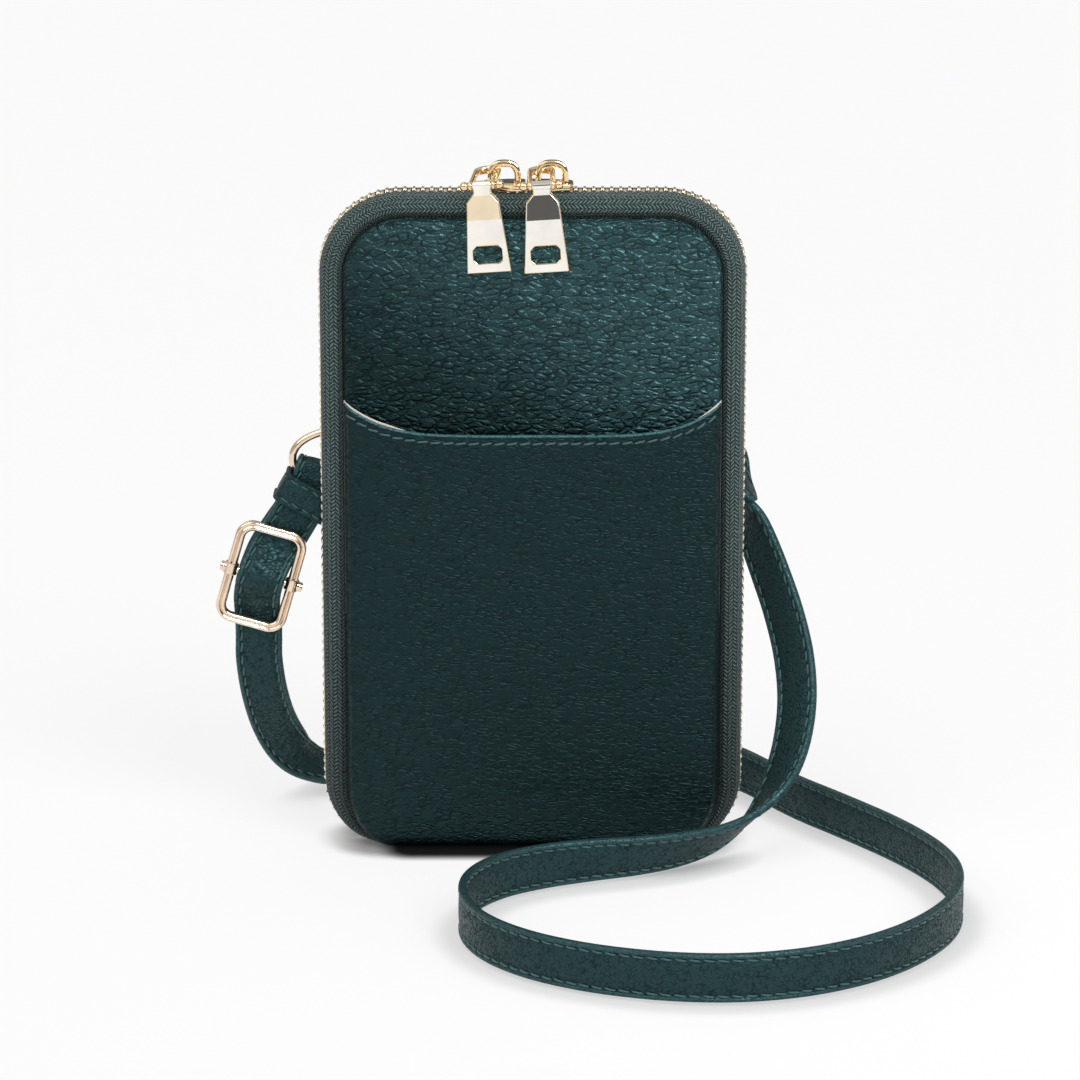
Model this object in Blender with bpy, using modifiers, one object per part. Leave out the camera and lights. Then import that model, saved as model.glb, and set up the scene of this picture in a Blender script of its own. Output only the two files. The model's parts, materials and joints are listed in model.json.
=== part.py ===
"""A crossbody wallet: a zip-round leather case for a phone, on a long adjustable strap.

Metres, +Z up. The origin is on the resting face, at the middle of the case, and the front
of the case looks along -Y. Run it with: blender --background --python part.py
"""

import math

import bmesh
import bpy
import numpy as np
from mathutils import Matrix, Vector

MM = 0.001

# Gaps and cuts
GAP = 0.3 * MM
OVERRUN = 2.0 * MM

# The line of the zip's teeth, seen from the front
TEETH_HALF_WIDTH = 57.2 * MM
TEETH_TOP = 183.0 * MM
TEETH_BOTTOM = 2.6 * MM
TEETH_TOP_RADIUS = 22.0 * MM
TEETH_BOTTOM_RADIUS = 16.0 * MM

# The leather panels
PANEL_INSET = 5.9 * MM
PANEL_BOTTOM = 0.6 * MM
PANEL_THICKNESS = 2.2 * MM
PANEL_BEVEL = 0.9 * MM
SEAM_DEPTH = 7.2 * MM
SEAM_ALLOWANCE = 3.0 * MM
BOARD_THICKNESS = 0.7 * MM
LINING_THICKNESS = 0.5 * MM
CARD_SLOT_THICKNESS = 0.6 * MM
CARD_SLOT_FLOOR = 14.0 * MM
CARD_SLOT_MOUTHS = {"lower": 66.0 * MM, "middle": 84.0 * MM, "upper": 102.0 * MM}
BASE_THICKNESS = 1.8 * MM
BASE_HALF_DEPTH = 6.4 * MM

# The slip pocket on the front
POCKET_THICKNESS = 1.5 * MM
POCKET_LINING_THICKNESS = 0.5 * MM
LIP_HEIGHT = 118.4 * MM
LIP_RISE = 8.7 * MM
LIP_POWER = 5

# The zip
TAPE_THICKNESS = 0.7 * MM
TAPE_FLAT = 5.4 * MM
TOOTH_PITCH = 2.42 * MM
TOOTH_LENGTH = 0.9 * MM
TOOTH_REACH = 0.5 * MM
TOOTH_ROOT = 1.0 * MM
TOOTH_HEIGHT = 1.9 * MM
BEAD_BACK = 2.4 * MM
ROW_BOW = 1.3 * MM
STOP_HALF_LENGTH = 1.1 * MM
STOP_HALF_DEPTH = 2.3 * MM
STOP_HEIGHT = 2.0 * MM

# The two sliders, head to head
SLIDERS_MIDDLE = -1.2 * MM
SLIDER_LENGTH = 11.6 * MM
SLIDERS_APART = 12.8 * MM
SLIDER_PLATE = 1.1 * MM
SLIDER_FLANGE = 1.2 * MM
POST_HALF_WIDTH = 0.5 * MM
TAPE_SLOT = 1.5 * MM
ARCH_HALF_SPAN = 3.6 * MM
ARCH_WIRE = 0.8 * MM
ARCH_TOP = 5.9 * MM

# The link and the pull on each slider
LINK_HEIGHT = 5.0 * MM
LINK_REACH = 11.57 * MM
LINK_DROP_ANGLE = math.radians(6.5)
LINK_HALF_WIDTH = 3.1 * MM
LINK_BEHIND = 3.0 * MM
LINK_WIRE = 0.7 * MM
LINK_SHIFTS = {"left": -1.0 * MM, "right": 0.7 * MM}
LINK_ROLLS = {"left": math.radians(-5), "right": math.radians(-3.5)}
LINK_YAWS = {"left": math.radians(-7), "right": 0.0}
PIN_RADIUS = 0.6 * MM
PIN_HALF_LENGTH = 4.5 * MM
PIN_BALL = 1.0 * MM
EYE_RADIUS = 1.35 * MM
EYE_WIDTH = 0.8 * MM
PULL_LENGTH = 23.6 * MM
PULL_THICKNESS = 1.7 * MM
PULL_NECK = 2.4 * MM
PULL_SHOULDER = 4.5 * MM
PULL_FOOT = 6.0 * MM
PULL_SHOULDER_DROP = 4.6 * MM
PULL_NECK_DROP = 2.4 * MM
PULL_BARREL = 1.3 * MM
PULL_SLOT_WIDTH = 7.8 * MM
PULL_SLOT_HEIGHT = 4.7 * MM
PULL_SLOT_ABOVE_FOOT = 4.9 * MM
PULL_SLOT_CORNER = 1.1 * MM

# The rings at the back corners, and the tabs that hold them
RING_WIRE = 1.1 * MM
RING_BAR_INSET = 6.4 * MM
RING_BAR_X = TEETH_HALF_WIDTH - RING_BAR_INSET
ROUTES_BAR_X = 50.8 * MM  # where the bars stood when the strap's routes were laid out
RING_BAR_Y = 13.0 * MM
RING_HEIGHT = 105.6 * MM
RING_HALF_HEIGHT = 8.05 * MM
RING_REACH = 15.5 * MM
RING_CORNER = 1.5 * MM
RING_TURNS = {"left": 0.0, "right": math.radians(65)}
TAB_LEATHER = 1.1 * MM
TAB_HALF_HEIGHT = 4.1 * MM
TAB_LIFT = 2.2 * MM
TAB_TAIL = 12.8 * MM
TAB_FOLD_END = 150  # degrees round the ring's bar

# The strap, its keeper and its buckle
STRAP_WIDTH = 13.0 * MM
STRAP_THICKNESS = 2.2 * MM
STRAP_EDGE = 0.6 * MM
STEPS_BETWEEN_POINTS = 2
KEEPER_CENTRE = Vector((-62.7, 13.0, 95.0)) * MM
KEEPER_TILT = math.radians(29.7)
KEEPER_HEIGHT = 8.5 * MM
KEEPER_WALL = 1.2 * MM
KEEPER_LAYERS = 7.9 * MM
BUCKLE_CENTRE = Vector((-75.1, 7.65, 73.3)) * MM
BUCKLE_TILT = math.radians(16.3)
BUCKLE_HALF_WIDTH = 8.7 * MM
BUCKLE_HALF_HEIGHT = 13.45 * MM
BUCKLE_CORNER = 3.6 * MM
BUCKLE_WIRE = 1.15 * MM
BAR_RADIUS = 1.0 * MM
COLLAR_RADIUS = 1.95 * MM
COLLAR_LENGTH = 3.4 * MM
COLLAR_BORE = 1.4 * MM

# Routes of the strap, in millimetres: a point on its middle line, then the direction from
# its lower or left edge to its upper or right edge.
LEFT_END_ROUTE = [
    ((-76.0, 7.7, 70.4), (0.96, 0.0, -0.28)),
    ((-75.8, 9.7, 71.3), (0.96, 0.0, -0.28)),
    ((-75.0, 10.4, 74.0), (0.96, 0.0, -0.28)),
    ((-72.7, 11.5, 79.5), (0.95, 0.0, -0.31)),
    ((-69.4, 13.6, 84.5), (0.9, 0.0, -0.43)),
    ((-66.4, 15.4, 88.5), (0.87, 0.0, -0.49)),
    ((-65.1, 15.6, 90.7), (0.87, 0.0, -0.49)),
    ((-62.7, 15.6, 95.0), (0.87, 0.0, -0.49)),
    ((-60.2, 15.6, 99.3), (0.89, 0.0, -0.45)),
    ((-58.8, 14.9, 103.1), (0.955, 0.0, -0.3)),
    ((-58.3, 13.0, 104.1), (0.96, 0.0, -0.28)),
    ((-58.8, 11.1, 103.1), (0.955, 0.0, -0.3)),
    ((-60.2, 10.4, 99.3), (0.89, 0.0, -0.45)),
    ((-62.7, 10.4, 95.0), (0.87, 0.0, -0.49)),
    ((-65.1, 10.4, 90.7), (0.87, 0.0, -0.49)),
    ((-68.0, 10.4, 85.8), (0.9, 0.0, -0.43)),
    ((-70.4, 10.1, 82.2), (0.955, 0.0, -0.3)),
    ((-72.8, 8.1, 78.4), (0.96, 0.0, -0.28)),
    ((-75.1, 5.2, 73.3), (0.96, 0.0, -0.28)),
    ((-76.4, 8.0, 67.4), (0.96, 0.0, -0.28)),
    ((-76.4, 10.1, 62.8), (0.96, 0.0, -0.27)),
    ((-76.2, 10.5, 58.6), (0.965, 0.0, -0.25)),
    ((-76.2, 10.8, 55.2), (0.97, 0.0, -0.24)),
]
STRAP_ROUTE = [
    ((-76.2, 10.9, 54.8), (0.97, 0, -0.24)),
    ((-76.3, 12.8, 47.5), (0.97, 0.1, -0.2)),
    ((-75.2, 17.5, 36.5), (0.93, 0.25, -0.26)),
    ((-72.9, 24.5, 25.5), (0.82, 0.48, -0.28)),
    ((-69.2, 32.5, 16.0), (0.64, 0.75, -0.16)),
    ((-64.0, 39.8, 9.6), (0.42, 0.9, 0.03)),
    ((-57.5, 45.6, 5.8), (0.25, 0.94, 0.2)),
    ((-48.0, 50.6, 4.9), (0.1, 0.9, 0.4)),
    ((-34.0, 54.4, 5.8), (0.0, 0.76, 0.65)),
    ((-17.0, 56.8, 6.8), (0.0, 0.5, 0.87)),
    ((2.0, 57.6, 7.2), (0.0, 0.2, 0.98)),
    ((21.0, 57.0, 7.2), (0.0, 0.0, 1.0)),
    ((38.0, 54.2, 7.2), (0.0, 0.0, 1.0)),
    ((50.5, 48.3, 7.2), (0.0, 0.0, 1.0)),
    ((58.7, 40.2, 7.2), (0.0, 0.0, 1.0)),
    ((64.8, 30.5, 7.2), (0.0, 0.0, 1.0)),
    ((70.2, 20.3, 7.2), (0.0, 0.0, 1.0)),
    ((76.3, 10.3, 7.2), (0.0, 0.0, 1.0)),
    ((83.6, 0.0, 7.2), (0.0, 0.0, 1.0)),
    ((91.0, -10.8, 7.2), (0.0, 0.0, 1.0)),
    ((98.2, -22.0, 7.2), (0.0, 0.0, 1.0)),
    ((104.7, -34.0, 7.2), (0.0, 0.0, 1.0)),
    ((109.8, -46.7, 7.2), (0.0, 0.0, 1.0)),
    ((112.7, -60.3, 7.2), (0.0, 0.0, 1.0)),
    ((112.4, -74.4, 7.2), (0.0, 0.0, 1.0)),
    ((108.7, -88.2, 7.2), (0.0, 0.0, 1.0)),
    ((101.9, -101.0, 7.2), (0.0, 0.0, 1.0)),
    ((93.0, -112.2, 7.2), (0.0, 0.0, 1.0)),
    ((82.2, -121.3, 7.2), (0.0, 0.0, 1.0)),
    ((69.3, -128.2, 7.2), (0.0, 0.0, 1.0)),
    ((55.0, -132.0, 7.2), (0.0, 0.0, 1.0)),
    ((40.2, -132.2, 7.2), (0.0, 0.0, 1.0)),
    ((25.5, -129.2, 7.2), (0.0, 0.0, 1.0)),
    ((11.2, -123.4, 7.2), (0.0, 0.0, 1.0)),
    ((-1.7, -114.6, 7.2), (0.0, 0.0, 1.0)),
    ((-11.6, -103.0, 7.2), (0.0, 0.0, 1.0)),
    ((-17.1, -89.7, 7.2), (0.0, 0.0, 1.0)),
    ((-18.2, -76.2, 7.2), (0.0, 0.0, 1.0)),
    ((-14.9, -63.6, 7.2), (0.0, 0.0, 1.0)),
    ((-7.4, -53.4, 7.2), (0.0, -0.05, 1.0)),
    ((3.4, -46.2, 7.2), (0.0, -0.12, 0.99)),
    ((15.8, -41.3, 7.2), (0.0, -0.22, 0.97)),
    ((28.6, -37.6, 7.2), (0.02, -0.36, 0.93)),
    ((40.4, -32.2, 7.2), (0.08, -0.5, 0.86)),
    ((50.8, -25.4, 8.0), (0.2, -0.64, 0.74)),
    ((59.4, -18.6, 11.3), (0.36, -0.73, 0.58)),
    ((66.2, -13.0, 18.2), (0.55, -0.75, 0.36)),
    ((70.8, -9.2, 28.2), (0.67, -0.73, 0.13)),
    ((72.9, -4.0, 39.8), (0.72, -0.69, 0.02)),
    ((72.3, 1.3, 51.3), (0.76, -0.65, 0.0)),
    ((69.6, 6.4, 62.7), (0.77, -0.64, 0.0)),
    ((65.7, 11.2, 73.7), (0.76, -0.65, 0.0)),
    ((62.7, 14.4, 81.3), (0.72, -0.69, 0.0)),
]
RIGHT_END_ROUTE = [
    ((62.5, 14.6, 81.7), (0.72, -0.69, 0.0)),
    ((60.2, 16.9, 87.2), (0.6, -0.8, 0.0)),
    ((57.6, 19.0, 91.5), (0.35, -0.93, 0.0)),
    ((55.0, 20.8, 94.0), (0.1, -0.98, -0.1)),
    ((52.3, 22.2, 96.4), (-0.25, -0.94, -0.22)),
    ((52.0, 21.9, 99.0), (-0.4, -0.87, -0.29)),
    ((52.0, 21.6, 101.4), (-0.41, -0.87, -0.29)),
    ((52.5, 21.0, 103.2), (-0.41, -0.87, -0.29)),
    ((54.1, 20.1, 104.1), (-0.41, -0.87, -0.29)),
    ((55.9, 19.4, 103.2), (-0.41, -0.87, -0.29)),
    ((56.7, 19.5, 101.0), (-0.4, -0.87, -0.29)),
    ((57.5, 19.5, 98.2), (-0.3, -0.92, -0.26)),
    ((59.3, 19.2, 95.0), (-0.05, -0.97, -0.2)),
    ((61.6, 18.5, 92.0), (0.2, -0.97, -0.1)),
]

# Counts
CORNER_STEPS = 10
SIDE_STEPS = 6
TOP_STEPS = 12
LIP_STEPS = 24

SIDES = {"left": -1, "right": 1}


def material(name, colour, roughness, metallic=0.0):
    """A plain material in the piece's own colour."""
    made = bpy.data.materials.new(name)
    made.use_nodes = True
    shader = made.node_tree.nodes["Principled BSDF"]
    shader.inputs["Base Color"].default_value = (*colour, 1)
    shader.inputs["Roughness"].default_value = roughness
    shader.inputs["Metallic"].default_value = metallic
    return made


def materials():
    """The materials by the names that the pieces use."""
    return {
        "leather": material("leather", (0.010, 0.030, 0.030), 0.5),
        "strap_leather": material("strap_leather", (0.008, 0.026, 0.026), 0.5),
        "lining": material("lining", (0.55, 0.50, 0.45), 0.8),
        "board": material("board", (0.30, 0.28, 0.25), 0.9),
        "tape": material("tape", (0.020, 0.035, 0.032), 0.8),
        "gold": material("gold", (0.80, 0.58, 0.36), 0.2, 1.0),
    }


def clear_scene():
    for old in list(bpy.data.objects):
        bpy.data.objects.remove(old, do_unlink=True)


def collection(name, hidden=False):
    made = bpy.data.collections.new(name)
    made.hide_render = hidden
    bpy.context.scene.collection.children.link(made)
    return made


def add(name, data, look, home):
    """An object of this mesh or curve, in its collection, with its material."""
    made = bpy.data.objects.new(name, data)
    if look is not None:
        data.materials.append(look)
    home.objects.link(made)
    return made


def cutter(name, data, home):
    made = add(name, data, None, home)
    made.hide_render = True
    made.display_type = "WIRE"
    return made


def boolean(target, other, operation):
    change = target.modifiers.new(other.name, "BOOLEAN")
    change.operation = operation
    change.object = other
    change.solver = "EXACT"


def bevel(target, width, segments=2):
    change = target.modifiers.new("rounded_edges", "BEVEL")
    change.width = width
    change.segments = segments
    change.limit_method = "ANGLE"
    change.angle_limit = math.radians(40)


def shaded(mesh):
    mesh.shade_smooth()
    mesh.set_sharp_from_angle(angle=math.radians(35))
    return mesh


def prism(name, outline, low, high, place=Matrix()):
    """A closed mesh: an outline of (x, y) points, from z = low to z = high, then placed."""
    form = bmesh.new()
    bottom = [form.verts.new((x, y, low)) for x, y in outline]
    top = [form.verts.new((x, y, high)) for x, y in outline]
    form.faces.new(bottom[::-1])
    form.faces.new(top)
    for i in range(len(outline)):
        j = (i + 1) % len(outline)
        form.faces.new((bottom[i], bottom[j], top[j], top[i]))
    bmesh.ops.transform(form, matrix=place, verts=form.verts)
    bmesh.ops.recalc_face_normals(form, faces=form.faces)
    mesh = bpy.data.meshes.new(name)
    form.to_mesh(mesh)
    form.free()
    return mesh


def cylinder(name, radius, low, high, place=Matrix(), sides=16):
    """A closed round bar along its own Z, from low to high, then placed."""
    form = bmesh.new()
    middle = Matrix.Translation((0, 0, (low + high) / 2))
    bmesh.ops.create_cone(
        form, cap_ends=True, segments=sides, radius1=radius, radius2=radius,
        depth=high - low, matrix=place @ middle,
    )
    mesh = bpy.data.meshes.new(name)
    form.to_mesh(mesh)
    form.free()
    return shaded(mesh)


def ball(name, radius, centre):
    form = bmesh.new()
    bmesh.ops.create_uvsphere(
        form, u_segments=12, v_segments=8, radius=radius, matrix=Matrix.Translation(centre)
    )
    mesh = bpy.data.meshes.new(name)
    form.to_mesh(mesh)
    form.free()
    return shaded(mesh)


def wire(name, points, radius, closed=False):
    """A curve object's data: a round wire through these points."""
    curve = bpy.data.curves.new(name, "CURVE")
    curve.dimensions = "3D"
    curve.bevel_depth = radius
    curve.bevel_resolution = 2
    curve.use_fill_caps = not closed
    line = curve.splines.new("POLY")
    line.points.add(len(points) - 1)
    for point, place in zip(line.points, points):
        point.co = (*place, 1)
    line.use_cyclic_u = closed
    return curve


def flat_ring(name, outer, inner, half_thickness):
    """A curve object's data: a flat plate with a hole, lying in XY."""
    curve = bpy.data.curves.new(name, "CURVE")
    curve.dimensions = "2D"
    curve.fill_mode = "BOTH"
    curve.extrude = half_thickness
    for outline in (outer, inner):
        line = curve.splines.new("POLY")
        line.points.add(len(outline) - 1)
        for point, (x, y) in zip(line.points, outline):
            point.co = (x, y, 0, 1)
        line.use_cyclic_u = True
    return curve


def meshed(name, curve, place=Matrix()):
    """A closed mesh of a curve object's data, with its caps welded on."""
    holder = bpy.data.objects.new(name, curve)
    bpy.context.scene.collection.objects.link(holder)
    graph = bpy.context.evaluated_depsgraph_get()
    mesh = bpy.data.meshes.new_from_object(holder.evaluated_get(graph))
    bpy.data.objects.remove(holder, do_unlink=True)
    form = bmesh.new()
    form.from_mesh(mesh)
    bmesh.ops.remove_doubles(form, verts=form.verts, dist=MM / 1000)
    bmesh.ops.transform(form, matrix=place, verts=form.verts)
    bmesh.ops.recalc_face_normals(form, faces=form.faces)
    form.to_mesh(mesh)
    form.free()
    return shaded(mesh)


def arc(centre, radius, start, end, steps):
    """Points on an arc in a plane; angles in degrees."""
    turns = [math.radians(start + (end - start) * i / steps) for i in range(steps + 1)]
    return [(centre[0] + radius * math.cos(a), centre[1] + radius * math.sin(a)) for a in turns]


def rounded_box(half_width, bottom, top, bottom_radius, top_radius, steps):
    """A closed outline with round corners, anticlockwise from its lower right corner."""
    return (
        arc((half_width - bottom_radius, bottom + bottom_radius), bottom_radius, -90, 0, steps)
        + arc((half_width - top_radius, top - top_radius), top_radius, 0, 90, steps)
        + arc((top_radius - half_width, top - top_radius), top_radius, 90, 180, steps)
        + arc((bottom_radius - half_width, bottom + bottom_radius), bottom_radius, 180, 270, steps)
    )


def panel_outline(shrink=0.0, steps=CORNER_STEPS):
    """The outline of a leather panel, or of a layer that is smaller all round."""
    return rounded_box(
        TEETH_HALF_WIDTH - PANEL_INSET - shrink,
        PANEL_BOTTOM + shrink,
        TEETH_TOP - PANEL_INSET - shrink,
        TEETH_BOTTOM_RADIUS - PANEL_INSET - shrink / 2,
        TEETH_TOP_RADIUS - PANEL_INSET - shrink,
        steps,
    )


FACING_FRONT = Matrix.Rotation(math.radians(90), 4, "X")


def layer(name, outline, near, far, look, home):
    """A flat layer of the case: an outline seen from the front, from y = near to y = far."""
    return add(name, prism(name, outline, -far, -near, FACING_FRONT), look, home)


def rim(half_width, bottom, top, bottom_radius, top_radius):
    """An open line up one side, over the top and down the other, as (x, z) points."""
    left = arc((bottom_radius - half_width, bottom + bottom_radius), bottom_radius, 270, 180,
               CORNER_STEPS)
    side_top = top - top_radius
    side_bottom = bottom + bottom_radius
    for i in range(1, SIDE_STEPS):
        left.append((-half_width, side_bottom + (side_top - side_bottom) * i / SIDE_STEPS))
    left += arc((top_radius - half_width, side_top), top_radius, 180, 90, CORNER_STEPS)
    run = half_width - top_radius
    top_run = [(-run + 2 * run * i / (2 * TOP_STEPS), top) for i in range(1, 2 * TOP_STEPS)]
    return left + top_run + [(-x, z) for x, z in reversed(left)]


def teeth_rim():
    return rim(TEETH_HALF_WIDTH, TEETH_BOTTOM, TEETH_TOP, TEETH_BOTTOM_RADIUS, TEETH_TOP_RADIUS)


def seam_rim():
    inset = PANEL_INSET + SEAM_ALLOWANCE
    return rim(
        TEETH_HALF_WIDTH - inset, TEETH_BOTTOM + GAP, TEETH_TOP - inset,
        TEETH_BOTTOM_RADIUS - inset, TEETH_TOP_RADIUS - inset,
    )


def bow(x, z):
    """How far each row of teeth stands off its closed place, round the sliders' posts."""
    if z < TEETH_TOP - TEETH_TOP_RADIUS:
        return 0.0
    full = SLIDERS_APART / 2 - SLIDER_LENGTH / 12
    closed = SLIDERS_APART / 2 + SLIDER_LENGTH / 4
    share = (closed - abs(x - SLIDERS_MIDDLE)) / (closed - full)
    share = min(max(share, 0.0), 1.0)
    return ROW_BOW * share * share * (3 - 2 * share)


def zip_tape(name, side, look, home):
    """The woven tape of one half: a flat edge by the teeth that turns down to the seam."""
    depth_shares = [0.0, 0.0, 0.42, 0.86, 1.0, 1.0]
    inset_shares = [0.0, 0.02, 0.14, 0.42, 0.62, 1.0]
    form = bmesh.new()
    rows = []
    for outer, inner in zip(teeth_rim(), seam_rim()):
        edge = BEAD_BACK + GAP + bow(*outer)
        row = []
        for i, (deep, inset) in enumerate(zip(depth_shares, inset_shares)):
            y = edge if i == 0 else TAPE_FLAT + (SEAM_DEPTH - TAPE_FLAT) * deep
            x = outer[0] + (inner[0] - outer[0]) * inset
            z = outer[1] + (inner[1] - outer[1]) * inset
            row.append(form.verts.new((x, side * y, z)))
        rows.append(row)
    for a, b in zip(rows, rows[1:]):
        for i in range(len(a) - 1):
            form.faces.new((a[i], b[i], b[i + 1], a[i + 1]))
    mesh = bpy.data.meshes.new(name)
    form.to_mesh(mesh)
    form.free()
    made = add(name, shaded(mesh), look, home)
    thick = made.modifiers.new("thickness", "SOLIDIFY")
    thick.thickness = TAPE_THICKNESS
    thick.offset = 0
    return made


def spaced(line, distances):
    """Points, and outward directions, at these distances along an (x, z) line."""
    points = np.array(line)
    steps = np.linalg.norm(np.diff(points, axis=0), axis=1)
    along = np.concatenate([[0], np.cumsum(steps)])
    found = []
    for distance in distances:
        x, z = (np.interp(distance, along, points[:, k]) for k in (0, 1))
        i = min(max(int(np.searchsorted(along, distance)) - 1, 0), len(steps) - 1)
        tx, tz = (points[i + 1] - points[i]) / steps[i]
        found.append((x, z, -tz, tx))
    return found


def line_length(line):
    return float(np.linalg.norm(np.diff(np.array(line), axis=0), axis=1).sum())


def teeth_row(name, side, phase, look, home):
    """One row of teeth on its bead: a comb that follows the rim, one closed body."""
    line = teeth_rim()
    count = int((line_length(line) - 2 * TOOTH_PITCH) / TOOTH_PITCH)
    centres = [TOOTH_PITCH * (i + 1 + phase) for i in range(count)]
    half = TOOTH_LENGTH / 2
    form = bmesh.new()

    def corner(place, depth, level):
        x, z, out_x, out_z = place
        y = side * (depth + bow(x, z))
        return form.verts.new((x + out_x * level, y, z + out_z * level))

    teeth = []
    for centre in centres:
        before, middle, after = spaced(line, [centre - half, centre, centre + half])
        tooth = {}
        for up, level in ((1, TOOTH_HEIGHT / 2), (0, -TOOTH_HEIGHT / 2)):
            tooth["back", up] = corner(middle, BEAD_BACK, level)
            tooth["root_a", up] = corner(before, TOOTH_ROOT, level)
            tooth["root_b", up] = corner(after, TOOTH_ROOT, level)
            tooth["tip_a", up] = corner(before, -TOOTH_REACH, level)
            tooth["tip_b", up] = corner(after, -TOOTH_REACH, level)
        teeth.append(tooth)

    for tooth in teeth:
        for up in (0, 1):
            form.faces.new([tooth[k, up] for k in ("back", "root_a", "root_b")])
            form.faces.new([tooth[k, up] for k in ("root_a", "tip_a", "tip_b", "root_b")])
        for a, b in (("root_a", "tip_a"), ("tip_a", "tip_b"), ("tip_b", "root_b")):
            form.faces.new((tooth[a, 0], tooth[b, 0], tooth[b, 1], tooth[a, 1]))
    for this, following in zip(teeth, teeth[1:]):
        for up in (0, 1):
            form.faces.new((this["back", up], this["root_b", up],
                            following["root_a", up], following["back", up]))
        form.faces.new((this["root_b", 0], following["root_a", 0],
                        following["root_a", 1], this["root_b", 1]))
        form.faces.new((this["back", 0], following["back", 0],
                        following["back", 1], this["back", 1]))
    for tooth, root in ((teeth[0], "root_a"), (teeth[-1], "root_b")):
        form.faces.new((tooth["back", 0], tooth[root, 0], tooth[root, 1], tooth["back", 1]))
    bmesh.ops.recalc_face_normals(form, faces=form.faces)
    mesh = bpy.data.meshes.new(name)
    form.to_mesh(mesh)
    form.free()
    return add(name, mesh, look, home)


def lip_height(x):
    """The height of the slip pocket's mouth, which rises towards both sides."""
    share = abs(x) / (TEETH_HALF_WIDTH - PANEL_INSET)
    return LIP_HEIGHT + LIP_RISE * share**LIP_POWER


def pocket_outline():
    """The slip pocket from the front: the panel's lower part under a curved lip."""
    half_width = TEETH_HALF_WIDTH - PANEL_INSET
    radius = TEETH_BOTTOM_RADIUS - PANEL_INSET
    right = arc((half_width - radius, PANEL_BOTTOM + radius), radius, -90, 0, CORNER_STEPS)
    left = [(-x, z) for x, z in reversed(right)]
    lip = []
    for i in range(LIP_STEPS + 1):
        x = half_width - 2 * half_width * i / LIP_STEPS
        lip.append((x, lip_height(x)))
    return right + lip + left


def front_shell(look, home):
    """The front half: panel, stiffener, lining, the slip pocket, and its half of the zip."""
    panel_back = -(SEAM_DEPTH + TAPE_THICKNESS / 2 + GAP)
    panel_front = panel_back - PANEL_THICKNESS
    panel = layer("front_panel", panel_outline(), panel_front, panel_back, look["leather"], home)
    bevel(panel, PANEL_BEVEL)
    lining_near = panel_front - GAP - POCKET_LINING_THICKNESS
    layer("slip_pocket_lining", pocket_outline(), lining_near, panel_front - GAP,
          look["lining"], home)
    pocket_near = lining_near - GAP - POCKET_THICKNESS
    layer("slip_pocket", pocket_outline(), pocket_near, lining_near - GAP, look["leather"], home)
    board_near = panel_back + GAP
    board_far = board_near + BOARD_THICKNESS
    inside_tape = SEAM_ALLOWANCE + TAPE_THICKNESS
    layer("front_stiffener", panel_outline(inside_tape), board_near, board_far,
          look["board"], home)
    layer("front_lining", panel_outline(inside_tape), board_far + GAP,
          board_far + GAP + LINING_THICKNESS, look["lining"], home)
    zip_tape("front_zip_tape", -1, look["tape"], home)
    teeth_row("front_teeth", -1, 0.0, look["gold"], home)


def back_shell(look, home):
    """The back half, which carries the card slots inside."""
    panel_near = SEAM_DEPTH + TAPE_THICKNESS / 2 + GAP
    panel = layer("back_panel", panel_outline(), panel_near, panel_near + PANEL_THICKNESS,
                  look["leather"], home)
    bevel(panel, PANEL_BEVEL)
    inside_tape = SEAM_ALLOWANCE + TAPE_THICKNESS
    board_far = panel_near - GAP
    board_near = board_far - BOARD_THICKNESS
    layer("back_stiffener", panel_outline(inside_tape), board_near, board_far,
          look["board"], home)
    lining_near = board_near - GAP - LINING_THICKNESS
    layer("back_lining", panel_outline(inside_tape), lining_near, board_near - GAP,
          look["lining"], home)
    card_slots(lining_near, look, home)
    zip_tape("back_zip_tape", 1, look["tape"], home)
    teeth_row("back_teeth", 1, 0.5, look["gold"], home)


def card_slots(lining_near, look, home):
    """Three stepped card slots on the back lining, the tallest against the lining."""
    half_width = TEETH_HALF_WIDTH - PANEL_INSET - SEAM_ALLOWANCE - TAPE_THICKNESS
    far = lining_near - GAP
    for name in ("upper", "middle", "lower"):
        radius = BASE_THICKNESS
        outline = rounded_box(half_width, CARD_SLOT_FLOOR, CARD_SLOT_MOUTHS[name],
                              radius, radius, 3)
        layer("card_slot_" + name, outline, far - CARD_SLOT_THICKNESS, far,
              look["lining"], home)
        far -= CARD_SLOT_THICKNESS + GAP


def base_panel(look, home):
    """The leather strip under the case, which joins the two halves and is its foot."""
    half_width = TEETH_HALF_WIDTH - TEETH_BOTTOM_RADIUS - GAP
    outline = rounded_box(half_width, -BASE_HALF_DEPTH, BASE_HALF_DEPTH,
                          BASE_HALF_DEPTH / 2, BASE_HALF_DEPTH / 2, 4)
    add("base_panel", prism("base_panel", outline, 0.0, BASE_THICKNESS), look["leather"], home)


def zip_stop(side, look, home):
    """The small metal clamp where the zip's two rows end, under the case's corner."""
    name = "zip_stop_" + side
    middle = SIDES[side] * (TEETH_HALF_WIDTH - TEETH_BOTTOM_RADIUS)
    outline = [
        (middle - STOP_HALF_LENGTH, -STOP_HALF_DEPTH), (middle + STOP_HALF_LENGTH, -STOP_HALF_DEPTH),
        (middle + STOP_HALF_LENGTH, STOP_HALF_DEPTH), (middle - STOP_HALF_LENGTH, STOP_HALF_DEPTH),
    ]
    low = BASE_THICKNESS + GAP
    add(name, prism(name, outline, low, low + STOP_HEIGHT), look["gold"], home)


def mirrored(half):
    """A closed outline from its points on one side of the X axis."""
    return half + [(x, -y) for x, y in reversed(half)]


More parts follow.
